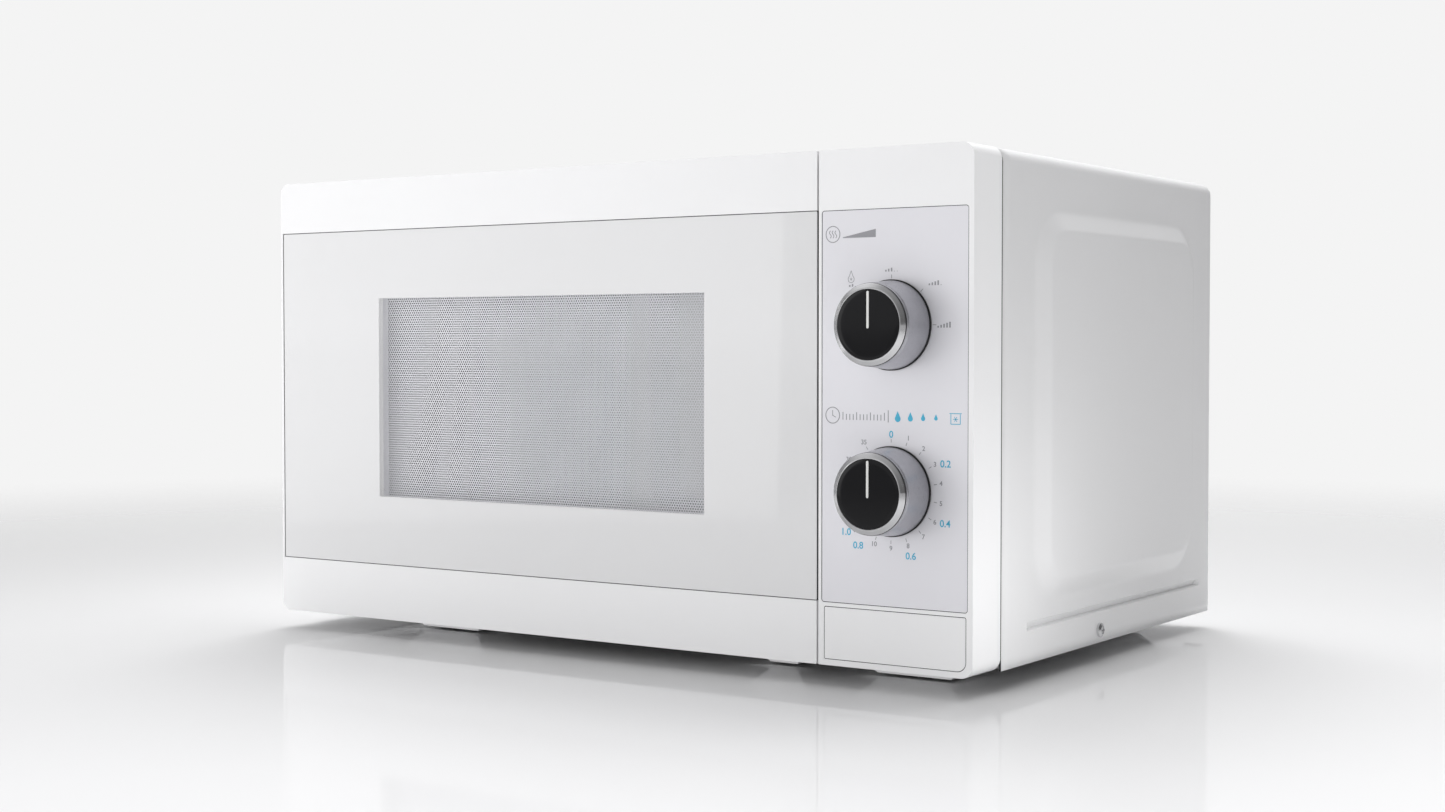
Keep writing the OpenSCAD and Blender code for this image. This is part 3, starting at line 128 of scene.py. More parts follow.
def make_world():
    """Plain backdrop for the camera, and a dim dome with soft bright regions for everything else."""
    world = bpy.data.worlds.new("studio")
    SCENE.world = world
    world.use_nodes = True
    tree = world.node_tree
    tree.nodes.clear()
    out = tree.nodes.new("ShaderNodeOutputWorld")
    seen = tree.nodes.new("ShaderNodeBackground")
    dome = tree.nodes.new("ShaderNodeBackground")
    seen.inputs["Color"].default_value = (BACKDROP, BACKDROP, BACKDROP, 1)
    dome.inputs["Color"].default_value = (*DOME_TINT, 1)
    path = tree.nodes.new("ShaderNodeLightPath")
    mix = tree.nodes.new("ShaderNodeMixShader")
    coord = tree.nodes.new("ShaderNodeTexCoord")
    total = None
    for direction, strength, start in LOBES:
        dot = tree.nodes.new("ShaderNodeVectorMath")
        dot.operation = "DOT_PRODUCT"
        dot.inputs[1].default_value = Vector(direction).normalized()
        ramp = tree.nodes.new("ShaderNodeMapRange")
        ramp.interpolation_type = "SMOOTHSTEP"
        ramp.inputs["From Min"].default_value = start
        ramp.inputs["From Max"].default_value = 1.0
        ramp.inputs["To Min"].default_value = 0.0
        ramp.inputs["To Max"].default_value = strength
        add = tree.nodes.new("ShaderNodeMath")
        add.operation = "ADD"
        add.inputs[1].default_value = AMBIENT
        tree.links.new(coord.outputs["Generated"], dot.inputs[0])
        tree.links.new(dot.outputs["Value"], ramp.inputs["Value"])
        tree.links.new(ramp.outputs[0], add.inputs[0])
        if total:
            tree.links.new(total, add.inputs[1])
        total = add.outputs[0]
    split = tree.nodes.new("ShaderNodeSeparateXYZ")
    above = tree.nodes.new("ShaderNodeMapRange")
    above.inputs["From Min"].default_value = -HORIZON
    above.inputs["From Max"].default_value = HORIZON
    horizon = tree.nodes.new("ShaderNodeMix")
    horizon.inputs["A"].default_value = FLOOR_GLOW
    tree.links.new(coord.outputs["Generated"], split.inputs[0])
    tree.links.new(split.outputs["Z"], above.inputs["Value"])
    tree.links.new(above.outputs[0], horizon.inputs["Factor"])
    tree.links.new(total, horizon.inputs["B"])
    tree.links.new(horizon.outputs["Result"], dome.inputs["Strength"])
    tree.links.new(path.outputs["Is Camera Ray"], mix.inputs["Fac"])
    tree.links.new(dome.outputs[0], mix.inputs[1])
    tree.links.new(seen.outputs[0], mix.inputs[2])
    tree.links.new(mix.outputs[0], out.inputs["Surface"])


make_camera()
make_world()
SCENE.view_settings.view_transform = "Standard"

# softboxes: where each stands, where it points, its size and its watts
FILL = area_light("fill_left", (-0.95, -1.0, 0.35), (-0.1, 0, 0.12), (0.9, 0.8), 2.6)
FRONT_SOFT = area_light("front_soft", (-0.7, -1.7, 0.04), (0, -0.1, 0.08), (1.4, 0.5), 9)
# at the foot of the right side's front edge, and above that side
LOW_RIGHT = area_light("low_right", (HALF_W + 0.12, FRONT, BOTTOM + 0.03), (HALF_W, FRONT + 0.03, 0.05),
                       (0.08, 0.04), 0.07)
HIGH_RIGHT = area_light("high_right", (HALF_W + 0.45, FRONT - 0.10, 0.62), (HALF_W, FRONT + 0.05, 0.22),
                        (0.4, 0.3), 0.25)
# each of these falls on one object only
CASING_LIGHT = area_light("front_right", (HALF_W + 0.35, FRONT - 0.35, 0.50), (HALF_W, FRONT + 0.05, 0.18),
                          (0.4, 0.3), 0.5)
PANEL_LIGHT = area_light("panel_side", (HALF_W + 0.40, FRONT + 0.05, 0.34), (HALF_W, FRONT + 0.01, 0.17),
                         (0.3, 0.3), 0.5)
FEET_LIGHT = area_light("feet_front", (0.0, FRONT - 0.5, 0.02), (0.0, FRONT + 0.05, 0.006), (0.6, 0.03), 1.2)
FLOOR_LIGHT = area_light("floor_back", (-0.9, 1.0, 2.0), (-0.1, -0.3, 0), (1.2, 1.2), 13)
OVEN_LIGHTS = [FILL, FRONT_SOFT, LOW_RIGHT, HIGH_RIGHT]
LIT_ALONE = {"casing": CASING_LIGHT, "control_panel": PANEL_LIGHT, "base_plate": FEET_LIGHT, "floor": FLOOR_LIGHT}
for lamp in [FRONT_SOFT, LOW_RIGHT, HIGH_RIGHT, *LIT_ALONE.values()]:
    lamp.visible_glossy = False

# ---- Materials --------------------------------------------------------------------------------


class Shade:
    """A Principled material with procedural colour, roughness and bump, in object coordinates."""

    def __init__(self, name, base, rough, **fixed):
        self.mat = bpy.data.materials.new(name)
        self.mat.use_nodes = True
        self.tree = self.mat.node_tree
        self.bsdf = self.tree.nodes["Principled BSDF"]
        self.base, self.rough = base, rough
        self.bsdf.inputs["Base Color"].default_value = (*base, 1)
        self.bsdf.inputs["Roughness"].default_value = rough
        for key, value in fixed.items():
            self.bsdf.inputs[key.replace("_", " ")].default_value = value

    def node(self, kind, **values):
        made = self.tree.nodes.new("ShaderNode" + kind)
        for key, value in values.items():
            if hasattr(made, key):
                setattr(made, key, value)
            else:
                made.inputs[key.replace("_", " ")].default_value = value
        return made

    def link(self, source, target):
        self.tree.links.new(source, target)

    def noise(self, scale, stretch=(1, 1, 1), detail=3.0):
        """Noise of that many cells per metre, stretched along the axes."""
        coord = self.node("TexCoord")
        mapping = self.node("Mapping")
        mapping.inputs["Scale"].default_value = stretch
        noise = self.node("TexNoise", Scale=scale, Detail=detail)
        self.link(coord.outputs["Object"], mapping.inputs["Vector"])
        self.link(mapping.outputs[0], noise.inputs["Vector"])
        return noise.outputs["Fac"]

    def mottle(self, source, spread, tint=(1, 1, 1)):
        """Colour that varies by a share of the base colour."""
        ramp = self.node("ValToRGB")
        low, high = ramp.color_ramp.elements
        low.position, high.position = 0.3, 0.7
        low.color = (*[c * (1 - spread) * t for c, t in zip(self.base, tint)], 1)
        high.color = (*[min(1, c * (1 + spread)) for c in self.base], 1)
        self.link(source, ramp.inputs["Fac"])
        self.link(ramp.outputs["Color"], self.bsdf.inputs["Base Color"])
        return self

    def vary_rough(self, source, spread):
        scaled = self.node("MapRange")
        scaled.inputs["From Min"].default_value = 0.3
        scaled.inputs["From Max"].default_value = 0.7
        scaled.inputs["To Min"].default_value = max(0, self.rough - spread)
        scaled.inputs["To Max"].default_value = min(1, self.rough + spread)
        self.link(source, scaled.inputs["Value"])
        self.link(scaled.outputs[0], self.bsdf.inputs["Roughness"])
        return self

    def bump(self, source, height, strength=0.4):
        made = self.node("Bump", Strength=strength, Distance=height)
        self.link(source, made.inputs["Height"])
        self.link(made.outputs[0], self.bsdf.inputs["Normal"])
        return self


def painted(name, base, rough, peel=0.00001):
    """Sprayed paint: almost even colour and gloss, with a faint orange peel."""
    s = Shade(name, base, rough)
    s.mottle(s.noise(9), 0.004)
    s.vary_rough(s.noise(25), 0.015)
    return s.bump(s.noise(1400, detail=1), peel).mat


def moulded(name, base, rough, grain=0.00003, **fixed):
    """Moulded plastic or rubber with a fine grain."""
    s = Shade(name, base, rough, **fixed)
    s.mottle(s.noise(14), 0.005)
    s.vary_rough(s.noise(60), 0.02)
    return s.bump(s.noise(3200, detail=2), grain).mat


def metal(name, base, rough, stretch=(1, 1, 1), grain=0.00001, spread=0.05):
    """Bare metal; a stretch above 1 draws the grain out across that axis."""
    cells = 260     # per metre
    s = Shade(name, base, rough, Metallic=1.0)
    s.mottle(s.noise(cells, stretch), spread)
    s.vary_rough(s.noise(cells * 1.7, stretch), 0.08)
    return s.bump(s.noise(cells * 3, stretch), grain).mat


def galvanised(name):
    """Zinc-coated sheet with faint crystals."""
    s = Shade(name, (0.72, 0.73, 0.74), 0.38, Metallic=0.85)
    cells = s.node("TexVoronoi", Scale=240.0)
    coord = s.node("TexCoord")
    s.link(coord.outputs["Object"], cells.inputs["Vector"])
    s.mottle(cells.outputs["Color"], 0.025)
    s.vary_rough(s.noise(60), 0.1)
    return s.bump(s.noise(900), 0.00001).mat


GLASS_IOR = 1.5


def thin_clear(name, tint, rough=0.01):
    """Thin glass or film: what is behind shows through, and its outer faces keep their gloss."""
    s = Shade(name, tint, rough)
    s.tree.nodes.remove(s.bsdf)
    out = s.tree.nodes["Material Output"]
    clear = s.node("BsdfTransparent")
    gloss = s.node("BsdfGlossy")
    gloss.inputs["Roughness"].default_value = rough
    gloss.inputs["Color"].default_value = (1, 1, 1, 1)
    edge = s.node("Fresnel")
    edge.inputs["IOR"].default_value = GLASS_IOR
    tone = s.node("ValToRGB")
    tone.color_ramp.elements[0].color = (*[c * 0.985 for c in tint], 1)
    tone.color_ramp.elements[1].color = (*tint, 1)
    mix = s.node("MixShader")
    face = s.node("NewGeometry")
    outer = s.node("Math", operation="SUBTRACT")
    outer.inputs[0].default_value = 1.0
    share = s.node("Math", operation="MULTIPLY")
    s.link(face.outputs["Backfacing"], outer.inputs[1])
    s.link(edge.outputs[0], share.inputs[0])
    s.link(outer.outputs[0], share.inputs[1])
    s.link(s.noise(20), tone.inputs["Fac"])
    s.link(tone.outputs["Color"], clear.inputs["Color"])
    s.link(share.outputs[0], mix.inputs["Fac"])
    s.link(clear.outputs[0], mix.inputs[1])
    s.link(gloss.outputs[0], mix.inputs[2])
    s.link(mix.outputs[0], out.inputs["Surface"])
    return s.mat


def glossy_print(name, base):
    """Paint printed on the back of glass: even colour under a polished surface."""
    s = Shade(name, base, 0.5, Coat_Weight=1.0, Coat_Roughness=0.03, Coat_IOR=GLASS_IOR,
              Specular_IOR_Level=0.0)
    s.mottle(s.noise(6), 0.008)
    return s.mat


def circuit(name):
    """Green board with darker and lighter tracks."""
    s = Shade(name, (0.05, 0.22, 0.09), 0.35)
    s.mottle(s.noise(240), 0.25)
    return s.bump(s.noise(700), 0.00002).mat


MATERIALS = {
    "white_enamel": painted("white_enamel", (0.86, 0.86, 0.865), 0.34),
    "galvanised": galvanised("galvanised"),
    "dark_rubber": moulded("dark_rubber", (0.03, 0.03, 0.032), 0.75, 0.00008),
    "black_plastic": moulded("black_plastic", (0.03, 0.03, 0.032), 0.45),
    "bright_steel": metal("bright_steel", (0.72, 0.72, 0.73), 0.2),
    "cavity_enamel": painted("cavity_enamel", (0.70, 0.70, 0.71), 0.28),
    "mica": moulded("mica", (0.55, 0.45, 0.33), 0.4, 0.00006),
    "white_plastic": moulded("white_plastic", (0.87, 0.87, 0.875), 0.3, 0.000008),
    "door_glass": glossy_print("door_glass", (0.74, 0.74, 0.745)),
    "screen_sheet": painted("screen_sheet", (0.80, 0.80, 0.83), 0.4),
    "painted_tray": painted("painted_tray", (0.62, 0.62, 0.63), 0.5),
    "clear_film": thin_clear("clear_film", (0.96, 0.96, 0.96), 0.05),
    "ivory_plastic": moulded("ivory_plastic", (0.80, 0.78, 0.70), 0.5),
    "spring_steel": metal("spring_steel", (0.5, 0.5, 0.52), 0.3),
    "control_plate": painted("control_plate", (0.76, 0.755, 0.79), 0.3),
    "knob_skirt": metal("knob_skirt", (0.50, 0.50, 0.53), 0.32, (1, 30, 1), 0.000004, 0.03),
    "knob_cap": moulded("knob_cap", (0.006, 0.006, 0.007), 0.08, 0.000002, Specular_IOR_Level=0.2),
    "bell_brass": metal("bell_brass", (0.72, 0.55, 0.25), 0.25),
    "core_steel": metal("core_steel", (0.2, 0.2, 0.21), 0.5, (1, 40, 1), 0.00003, 0.25),
    "copper_winding": metal("copper_winding", (0.6, 0.25, 0.1), 0.35, (1, 1, 12), 0.0002, 0.15),
    "aluminium_can": metal("aluminium_can", (0.72, 0.73, 0.74), 0.3, (1, 1, 20)),
    "copper_tube": metal("copper_tube", (0.7, 0.36, 0.2), 0.3),
    "aluminium_fin": metal("aluminium_fin", (0.75, 0.76, 0.77), 0.28),
    "tray_glass": thin_clear("tray_glass", (0.93, 0.96, 0.95), 0.02),
    "lamp_glass": thin_clear("lamp_glass", (0.95, 0.93, 0.85), 0.02),
    "circuit_board": circuit("circuit_board"),
    "wire_insulation": moulded("wire_insulation", (0.5, 0.04, 0.03), 0.4),
}
for name, node in NODES.items():
    node.data.materials.clear()
    node.data.materials.append(MATERIALS[SLOT_OF[name]])
# the pressed feet look white in the photo
NODES["base_plate"].data.materials[0] = painted("base_zinc", (0.80, 0.80, 0.81), 0.4)

# ---- Mesh helpers -----------------------------------------------------------------------------


def finish_mesh(obj, angle=35):
    """Smooth faces with creases where they meet at more than the angle."""
    obj.data.shade_smooth()
    obj.data.set_sharp_from_angle(angle=math.radians(angle))


def piece(name, bm, material, body, stands_for=(), angle=35, weighted=True):
    """A new piece from a bmesh, riding on a body."""
    mesh = bpy.data.meshes.new(name)
    bm.to_mesh(mesh)
    bm.free()
    obj = bpy.data.objects.new(name, mesh)
    SCENE.collection.objects.link(obj)
    for one in material if isinstance(material, (list, tuple)) else [material]:
        mesh.materials.append(one)
    finish_mesh(obj, angle)
    if weighted:
        mod = obj.modifiers.new("even_normals", "WEIGHTED_NORMAL")
        mod.keep_sharp = True
        mod.weight = 100
    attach(obj, body)
    if stands_for:
        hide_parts(*stands_for)
    return obj


def soften(name, width):
    """Rounds the sharp edges of a CAD node's surface by modifiers, and leaves its mesh alone."""
    obj = NODES[name]
    weld = obj.modifiers.new("join", "WELD")
    weld.merge_threshold = 0.01 * MM
    bevel = obj.modifiers.new("edge", "BEVEL")
    bevel.width = width
    bevel.segments = 3
    bevel.limit_method = "ANGLE"
    bevel.angle_limit = math.radians(32)
    bevel.use_clamp_overlap = True
    even = obj.modifiers.new("even_normals", "WEIGHTED_NORMAL")
    even.keep_sharp = True
    even.weight = 100
    obj.data.shade_smooth()


for moulding in ("door_frame", "control_panel", "open_button"):
    soften(moulding, 0.45 * MM)

# ---- Mesh builders ----------------------------------------------------------------------------


def rounded(lo, hi, radii, steps=6):
    """Anticlockwise outline of a rectangle with a radius at each corner, from the low-left one."""
    corners = [(lo[0], lo[1], 1, 1, 180), (hi[0], lo[1], -1, 1, 270),
               (hi[0], hi[1], -1, -1, 0), (lo[0], hi[1], 1, -1, 90)]
    points = []
    for (x, z, sx, sz, start), r in zip(corners, radii):
        for k in range(steps + 1):
            a = math.radians(start + 90 * k / steps)
            points.append(Vector((x + sx * r + r * math.cos(a), z + sz * r + r * math.sin(a))))
    return points


def inset(points, d):
    """The outline moved to the left of its direction by d, corners mitred."""
    n = len(points)
    out = []
    for i, p in enumerate(points):
        before = (p - points[i - 1]).normalized()
        after = (points[(i + 1) % n] - p).normalized()
        na, nb = Vector((-before.y, before.x)), Vector((-after.y, after.x))
        mid = (na + nb).normalized()
        out.append(p + mid * (d / max(mid.dot(na), 0.3)))
    return out


def quarter(y0, y1, edge, steps=4):
    """Profile of (inset, y) from the back plane to a rounded front edge."""
    if not edge:
        return [(0.0, y1), (0.0, y0)]
    turns = [math.radians(90 * k / steps) for k in range(steps + 1)]
    return [(0.0, y1)] + [(edge * (1 - math.cos(a)), y0 + edge * (1 - math.sin(a))) for a in turns]


def add_sides(bm, loop, profile):
    """Walls along a loop; returns the first and the last ring of vertices."""
    rings = [[bm.verts.new((p.x, y, p.y)) for p in inset(loop, d)] for d, y in profile]
    for a, b in zip(rings, rings[1:]):
        for i in range(len(a)):
            k = (i + 1) % len(a)
            bm.faces.new((a[i], a[k], b[k], b[i]))
    return rings[0], rings[-1]


def add_cap(bm, rings, flip, index=0):
    """Flat faces between an outer ring and the holes in it."""
    flat = [v for ring in rings for v in ring]
    for tri in tessellate_polygon([[Vector((v.co.x, v.co.z, 0)) for v in ring] for ring in rings]):
        face = [flat[i] for i in tri]
        bm.faces.new(face[::-1] if flip else face).material_index = index


def add_prism(bm, loops, y0, y1, edge=0.0, steps=4):
    """Solid between the planes y0 and y1: an outer outline and clockwise holes, with rounded front edges."""
    ends = [add_sides(bm, loop, quarter(y0, y1, edge, steps)) for loop in loops]
    add_cap(bm, [end[0] for end in ends], True)
    add_cap(bm, [end[1] for end in ends], False)
    bmesh.ops.recalc_face_normals(bm, faces=bm.faces)


TURN_STEPS = 128    # sides of a turned piece


def add_lathe(bm, profile, centre):
    """Closed profile of (radius, y) turned about an axis along Y through centre (x, z)."""
    turns = [2 * math.pi * i / TURN_STEPS for i in range(TURN_STEPS)]
    rings = []
    for r, y in profile:
        if r:
            ring = [(centre[0] + r * math.sin(a), y, centre[1] + r * math.cos(a)) for a in turns]
            rings.append([bm.verts.new(at) for at in ring])
        else:
            rings.append([bm.verts.new((centre[0], y, centre[1]))])
    closed = len(rings[0]) > 1 and len(rings[-1]) > 1
    pairs = list(zip(rings, rings[1:])) + ([(rings[-1], rings[0])] if closed else [])
    for a, b in pairs:
        for i in range(TURN_STEPS):
            k = (i + 1) % TURN_STEPS
            if len(a) == 1:
                bm.faces.new((a[0], b[k], b[i]))
            elif len(b) == 1:
                bm.faces.new((a[i], a[k], b[0]))
            else:
                bm.faces.new((a[i], a[k], b[k], b[i]))
    bmesh.ops.recalc_face_normals(bm, faces=bm.faces)


def clamp(x):
    return max(0.0, min(1.0, x))


def ease(x):
    """Smooth step from 0 to 1."""
    x = clamp(x)
    return x * x * (3 - 2 * x)


def rect_distance(p, lo, hi, r):
    """Distance from a rounded rectangle's outline, negative inside."""
    qx = abs(p[0] - (lo[0] + hi[0]) / 2) - (hi[0] - lo[0]) / 2 + r
    qy = abs(p[1] - (lo[1] + hi[1]) / 2) - (hi[1] - lo[1]) / 2 + r
    return math.hypot(max(qx, 0), max(qy, 0)) + min(max(qx, qy), 0) - r


def spaced(lo, hi, step):
    """Even stations from lo up to, but without, hi."""
    n = max(1, round((hi - lo) / step))
    return [lo + (hi - lo) * i / n for i in range(n)]


# ---- Casing -----------------------------------------------------------------------------------

TOP = door_hi.z
CASING_Y = casing_lo.y
REAR = casing_hi.y
SHEET = 0.8 * MM
CORNER = 7 * MM             # radius of the casing's long top edges
REAR_R = 6 * MM             # radius around the rear
REAR_FLANGE = 10 * MM
# raised field on each side, as (y, z)
FIELD_H = casing_hi.x - HALF_W + 0.9 * MM
FIELD_LO = (FRONT + 61.2 * MM, BOTTOM + 27.2 * MM)
FIELD_HI = (FRONT + 264.4 * MM, BOTTOM + 216.5 * MM)
FIELD_R = 28 * MM
FIELD_SLOPE = 11.5 * MM     # width of the slope around the field
# groove below it, deepest along its lower edge
GROOVE_LO = (FRONT + 55.8 * MM, BOTTOM + 15.5 * MM)
GROOVE_HI = (FRONT + 276 * MM, BOTTOM + 19.8 * MM)
GROOVE_D = 3.2 * MM
GROOVE_TAPER = 0.65         # share of the depth lost at its upper edge
GROOVE_EDGE = 0.7 * MM
# stations of the mesh: across the groove, across the slopes, and over plain sheet
ACROSS_GROOVE, ACROSS_SLOPE, PLAIN = 0.28 * MM, 1.2 * MM, 5 * MM
ROOM = 1 * MM               # the fine stations reach this far past a slope


def slope(t, foot=0.22, brow=0.10):
    """A straight slope from 0 to 1 with a rounded foot and a rounded brow."""
    t = clamp(t)
    rise = 1 / (1 - foot / 2 - brow / 2)
    if t < foot:
        return rise * t * t / (2 * foot)
    if t > 1 - brow:
        return 1 - rise * (1 - t) ** 2 / (2 * brow)
    return rise * (t - foot / 2)


def side_relief(y, z):
    """How far the side sheet stands out at (y, z)."""
    field = FIELD_H * slope(-rect_distance((y, z), FIELD_LO, FIELD_HI, FIELD_R) / FIELD_SLOPE)
    half = (GROOVE_HI[1] - GROOVE_LO[1]) / 2
    edge = ease(-rect_distance((y, z), GROOVE_LO, GROOVE_HI, half) / GROOVE_EDGE)
    shallower = GROOVE_TAPER * clamp((z - GROOVE_LO[1]) / (GROOVE_HI[1] - GROOVE_LO[1]))
    return field - GROOVE_D * edge * (1 - shallower)


def casing_section(d):
    """The inverted-U section moved inwards by d: [x, z, outward x, outward z] from low left to low right."""
    groove_foot, groove_head = GROOVE_LO[1] - 0.8 * MM, GROOVE_HI[1] + 0.8 * MM
    field_lo, field_hi = FIELD_LO[1] + FIELD_SLOPE + ROOM, FIELD_HI[1] - FIELD_SLOPE - ROOM
    zs = spaced(BOTTOM, groove_foot, PLAIN)
    zs += spaced(groove_foot, groove_head, ACROSS_GROOVE)
    zs += spaced(groove_head, field_lo, ACROSS_SLOPE)
    zs += spaced(field_lo, field_hi, 2 * ACROSS_SLOPE)
    zs += spaced(field_hi, FIELD_HI[1] + ROOM, ACROSS_SLOPE)
    zs += spaced(FIELD_HI[1] + ROOM, TOP - CORNER, PLAIN) + [TOP - CORNER]
    r = max(CORNER - d, 0.0)
    c = max(CORNER, d)
    half = [(-HALF_W + d, min(z, TOP - c), -1.0, 0.0) for z in zs]
    for k in range(1, 9):
        a = math.radians(90 * k / 8)
        half.append((-HALF_W + c - r * math.cos(a), TOP - c + r * math.sin(a), -math.cos(a), math.sin(a)))
    for x in spaced(-HALF_W + CORNER, 0, 30 * MM)[1:]:
        half.append((max(x, -HALF_W + c), TOP - d, 0.0, 1.0))
    return half + [(0.0, TOP - d, 0.0, 1.0)] + [(-x, z, -nx, nz) for x, z, nx, nz in reversed(half)]


def make_casing():
    """Wrapped sheet with raised fields, grooves and a rounded rear edge; the sheet's thickness is solid."""
    start = FIELD_LO[0] - 8 * MM    # ahead of both the field and the groove
    field_lo, field_hi = FIELD_LO[0] + FIELD_SLOPE + ROOM, FIELD_HI[0] - FIELD_SLOPE - ROOM
    ys = spaced(CASING_Y, start, 8 * MM)
    ys += spaced(start, field_lo, ACROSS_SLOPE)
    ys += spaced(field_lo, field_hi, 2.6 * MM)
    ys += spaced(field_hi, GROOVE_HI[0] + ROOM, ACROSS_SLOPE)
    ys += spaced(GROOVE_HI[0] + ROOM, REAR - REAR_R, 4 * MM) + [REAR - REAR_R]
    steps = [(0.0, y) for y in ys]
    for k in range(1, 7):
        a = math.radians(90 * k / 6)
        steps.append((REAR_R * (1 - math.cos(a)), REAR - REAR_R + REAR_R * math.sin(a)))
    steps.append((REAR_R + REAR_FLANGE, REAR))
    bm = bmesh.new()
    rings = []
    for d, y in steps:
        ring = []
        for x, z, nx, nz in casing_section(d):
            out = side_relief(y, z) if abs(nx) == 1.0 and d == 0 else 0.0
            ring.append(bm.verts.new((x + nx * out, y, z + nz * out)))
        rings.append(ring)
    for a, b in zip(rings, rings[1:]):
        for i in range(len(a) - 1):
            bm.faces.new((a[i], a[i + 1], b[i + 1], b[i]))
    bmesh.ops.remove_doubles(bm, verts=bm.verts, dist=1e-6)
    bmesh.ops.recalc_face_normals(bm, faces=bm.faces)
    top = max(bm.faces, key=lambda f: f.calc_center_median().z)
    if top.normal.z < 0:
        bmesh.ops.reverse_faces(bm, faces=bm.faces)
    obj = piece("casing", bm, MATERIALS["white_enamel"], "housing", ["outer_casing"], 40, False)
    thick = obj.modifiers.new("sheet", "SOLIDIFY")
    thick.thickness = SHEET
    thick.offset = -1


make_casing()

# ---- Door pane, print and screen ----------------------------------------------------------------

# clear window in the pane's print, as (x, z)
WINDOW_LO = (-144.2 * MM, BOTTOM + 67.5 * MM)
WINDOW_HI = (72.8 * MM, BOTTOM + 176.4 * MM)
PANE_EDGE = 0.35 * MM


def make_pane():
    """Glass panel: printed white on its back around a clear window, each face divided at the print's edge."""
    bm = bmesh.new()
    outer = rounded((glass_lo.x, glass_lo.z), (glass_hi.x, glass_hi.z), (0.6 * MM,) * 4, 3)
    window = rounded(WINDOW_LO, WINDOW_HI, (0.3 * MM,) * 4, 2)
    back, front = add_sides(bm, outer, quarter(glass_lo.y, glass_hi.y, PANE_EDGE, 3))
    for ring, y, flip in ((back, glass_hi.y, True), (front, glass_lo.y, False)):
        hole = [bm.verts.new((p.x, y, p.y)) for p in window]
        add_cap(bm, [ring, hole[::-1]], flip)
        add_cap(bm, [hole], flip, 1)
    bmesh.ops.recalc_face_normals(bm, faces=bm.faces)
    clear = thin_clear("pane_clear", (0.97, 0.97, 0.975))
    pane = piece("door_pane", bm, [MATERIALS["door_glass"], clear], "door", ["door_glass"])
    pane.visible_shadow = False     # the printed border lets the lights reach the screen


SCREEN_PITCH = 1.5 * MM     # between holes in a row
SCREEN_ROW = 1.27 * MM      # between rows
HOLE_R = 0.52 * MM
SCREEN_MARGIN = 3 * MM      # the holes reach this far past the clear window
RIM_LAP = 1.2 * MM          # the plain rim laps over the outer holes


def make_screen():
    """Perforated sheet behind the window: six-sided holes in staggered rows, cut as real openings."""
    bm = bmesh.new()
    y = screen_lo.y
    cols = int((WINDOW_HI[0] - WINDOW_LO[0] + 2 * SCREEN_MARGIN) / SCREEN_PITCH)
    rows = int((WINDOW_HI[1] - WINDOW_LO[1] + 2 * SCREEN_MARGIN) / SCREEN_ROW)
    x0 = (WINDOW_LO[0] + WINDOW_HI[0]) / 2 - (cols - 1) * SCREEN_PITCH / 2
    z0 = (WINDOW_LO[1] + WINDOW_HI[1]) / 2 - (rows - 1) * SCREEN_ROW / 2
    corners = [math.radians(30 + 60 * k) for k in range(6)]
    hole = {}
    for j in range(rows):
        for i in range(cols):
            cx = x0 + SCREEN_PITCH * (i + (0.25 if j % 2 else -0.25))
            cz = z0 + SCREEN_ROW * j
            hole[i, j] = [bm.verts.new((cx + HOLE_R * math.cos(a), y, cz + HOLE_R * math.sin(a))) for a in corners]
    # corner k of a hole is at 30 + 60 k degrees: 0 right-up, 1 up, 2 left-up, 3 left-down, 4 down, 5 right-down
    for (i, j), a in hole.items():
        right = hole.get((i + 1, j))
        up_right = hole.get((i + 1, j + 1)) if j % 2 else hole.get((i, j + 1))
        up_left = hole.get((i, j + 1)) if j % 2 else hole.get((i - 1, j + 1))
        if right:
            bm.faces.new((a[5], right[3], right[2], a[0]))
        if up_right:
            bm.faces.new((a[0], up_right[4], up_right[3], a[1]))
        if up_left:
            bm.faces.new((a[1], up_left[5], up_left[4], a[2]))
        if right and up_right:
            bm.faces.new((a[0], right[2], up_right[4]))
        if up_left and up_right:
            bm.faces.new((a[1], up_right[3], up_left[5]))
    bmesh.ops.recalc_face_normals(bm, faces=bm.faces)
    piece("door_mesh", bm, MATERIALS["screen_sheet"], "door", weighted=False)


def make_screen_rim():
    """Plain sheet around the perforated field."""
    bm = bmesh.new()
    outer = rounded((screen_lo.x, screen_lo.z), (screen_hi.x, screen_hi.z), (3 * MM,) * 4)
    m = SCREEN_MARGIN - RIM_LAP
    inner = rounded((WINDOW_LO[0] - m, WINDOW_LO[1] - m), (WINDOW_HI[0] + m, WINDOW_HI[1] + m), (0.5 * MM,) * 4, 2)
    add_prism(bm, [outer, inner[::-1]], screen_lo.y + 0.1 * MM, screen_hi.y)
    piece("door_mesh_rim", bm, MATERIALS["screen_sheet"], "door", ["door_screen"])


make_pane()
make_screen()
make_screen_rim()

# ---- Painted shade in the seams -----------------------------------------------------------------

# black for the strips in the gaps between parts: painted shade of the gaps
GAP_SHADE = moulded("painted_gap_shade", (0.02, 0.02, 0.022), 0.7)


def make_seam(name, lo, hi, radii, width, front_y, depth, body):
    """Black strip around a panel's outline, in the gap beside it: painted shade of the gap; the radii are in mm.
    """
    bm = bmesh.new()
    outer = rounded((lo[0] - width, lo[1] - width), (hi[0] + width, hi[1] + width),
                    [r * MM + width for r in radii])
    inner = rounded(lo, hi, [r * MM for r in radii])
    add_prism(bm, [outer, inner[::-1]], front_y, front_y + depth)
    piece(name, bm, GAP_SHADE, body, weighted=False)


# where the strip of painted shade lies in the gap between the casing and the front frame
SEAM_SUNK = 0.08 * MM
SEAM_THICK = 0.6 * MM
SEAM_CLEAR = 0.02 * MM      # between the strip and the parts ahead of it and behind it
SEAM_INNER_R = CORNER - 1.6 * MM


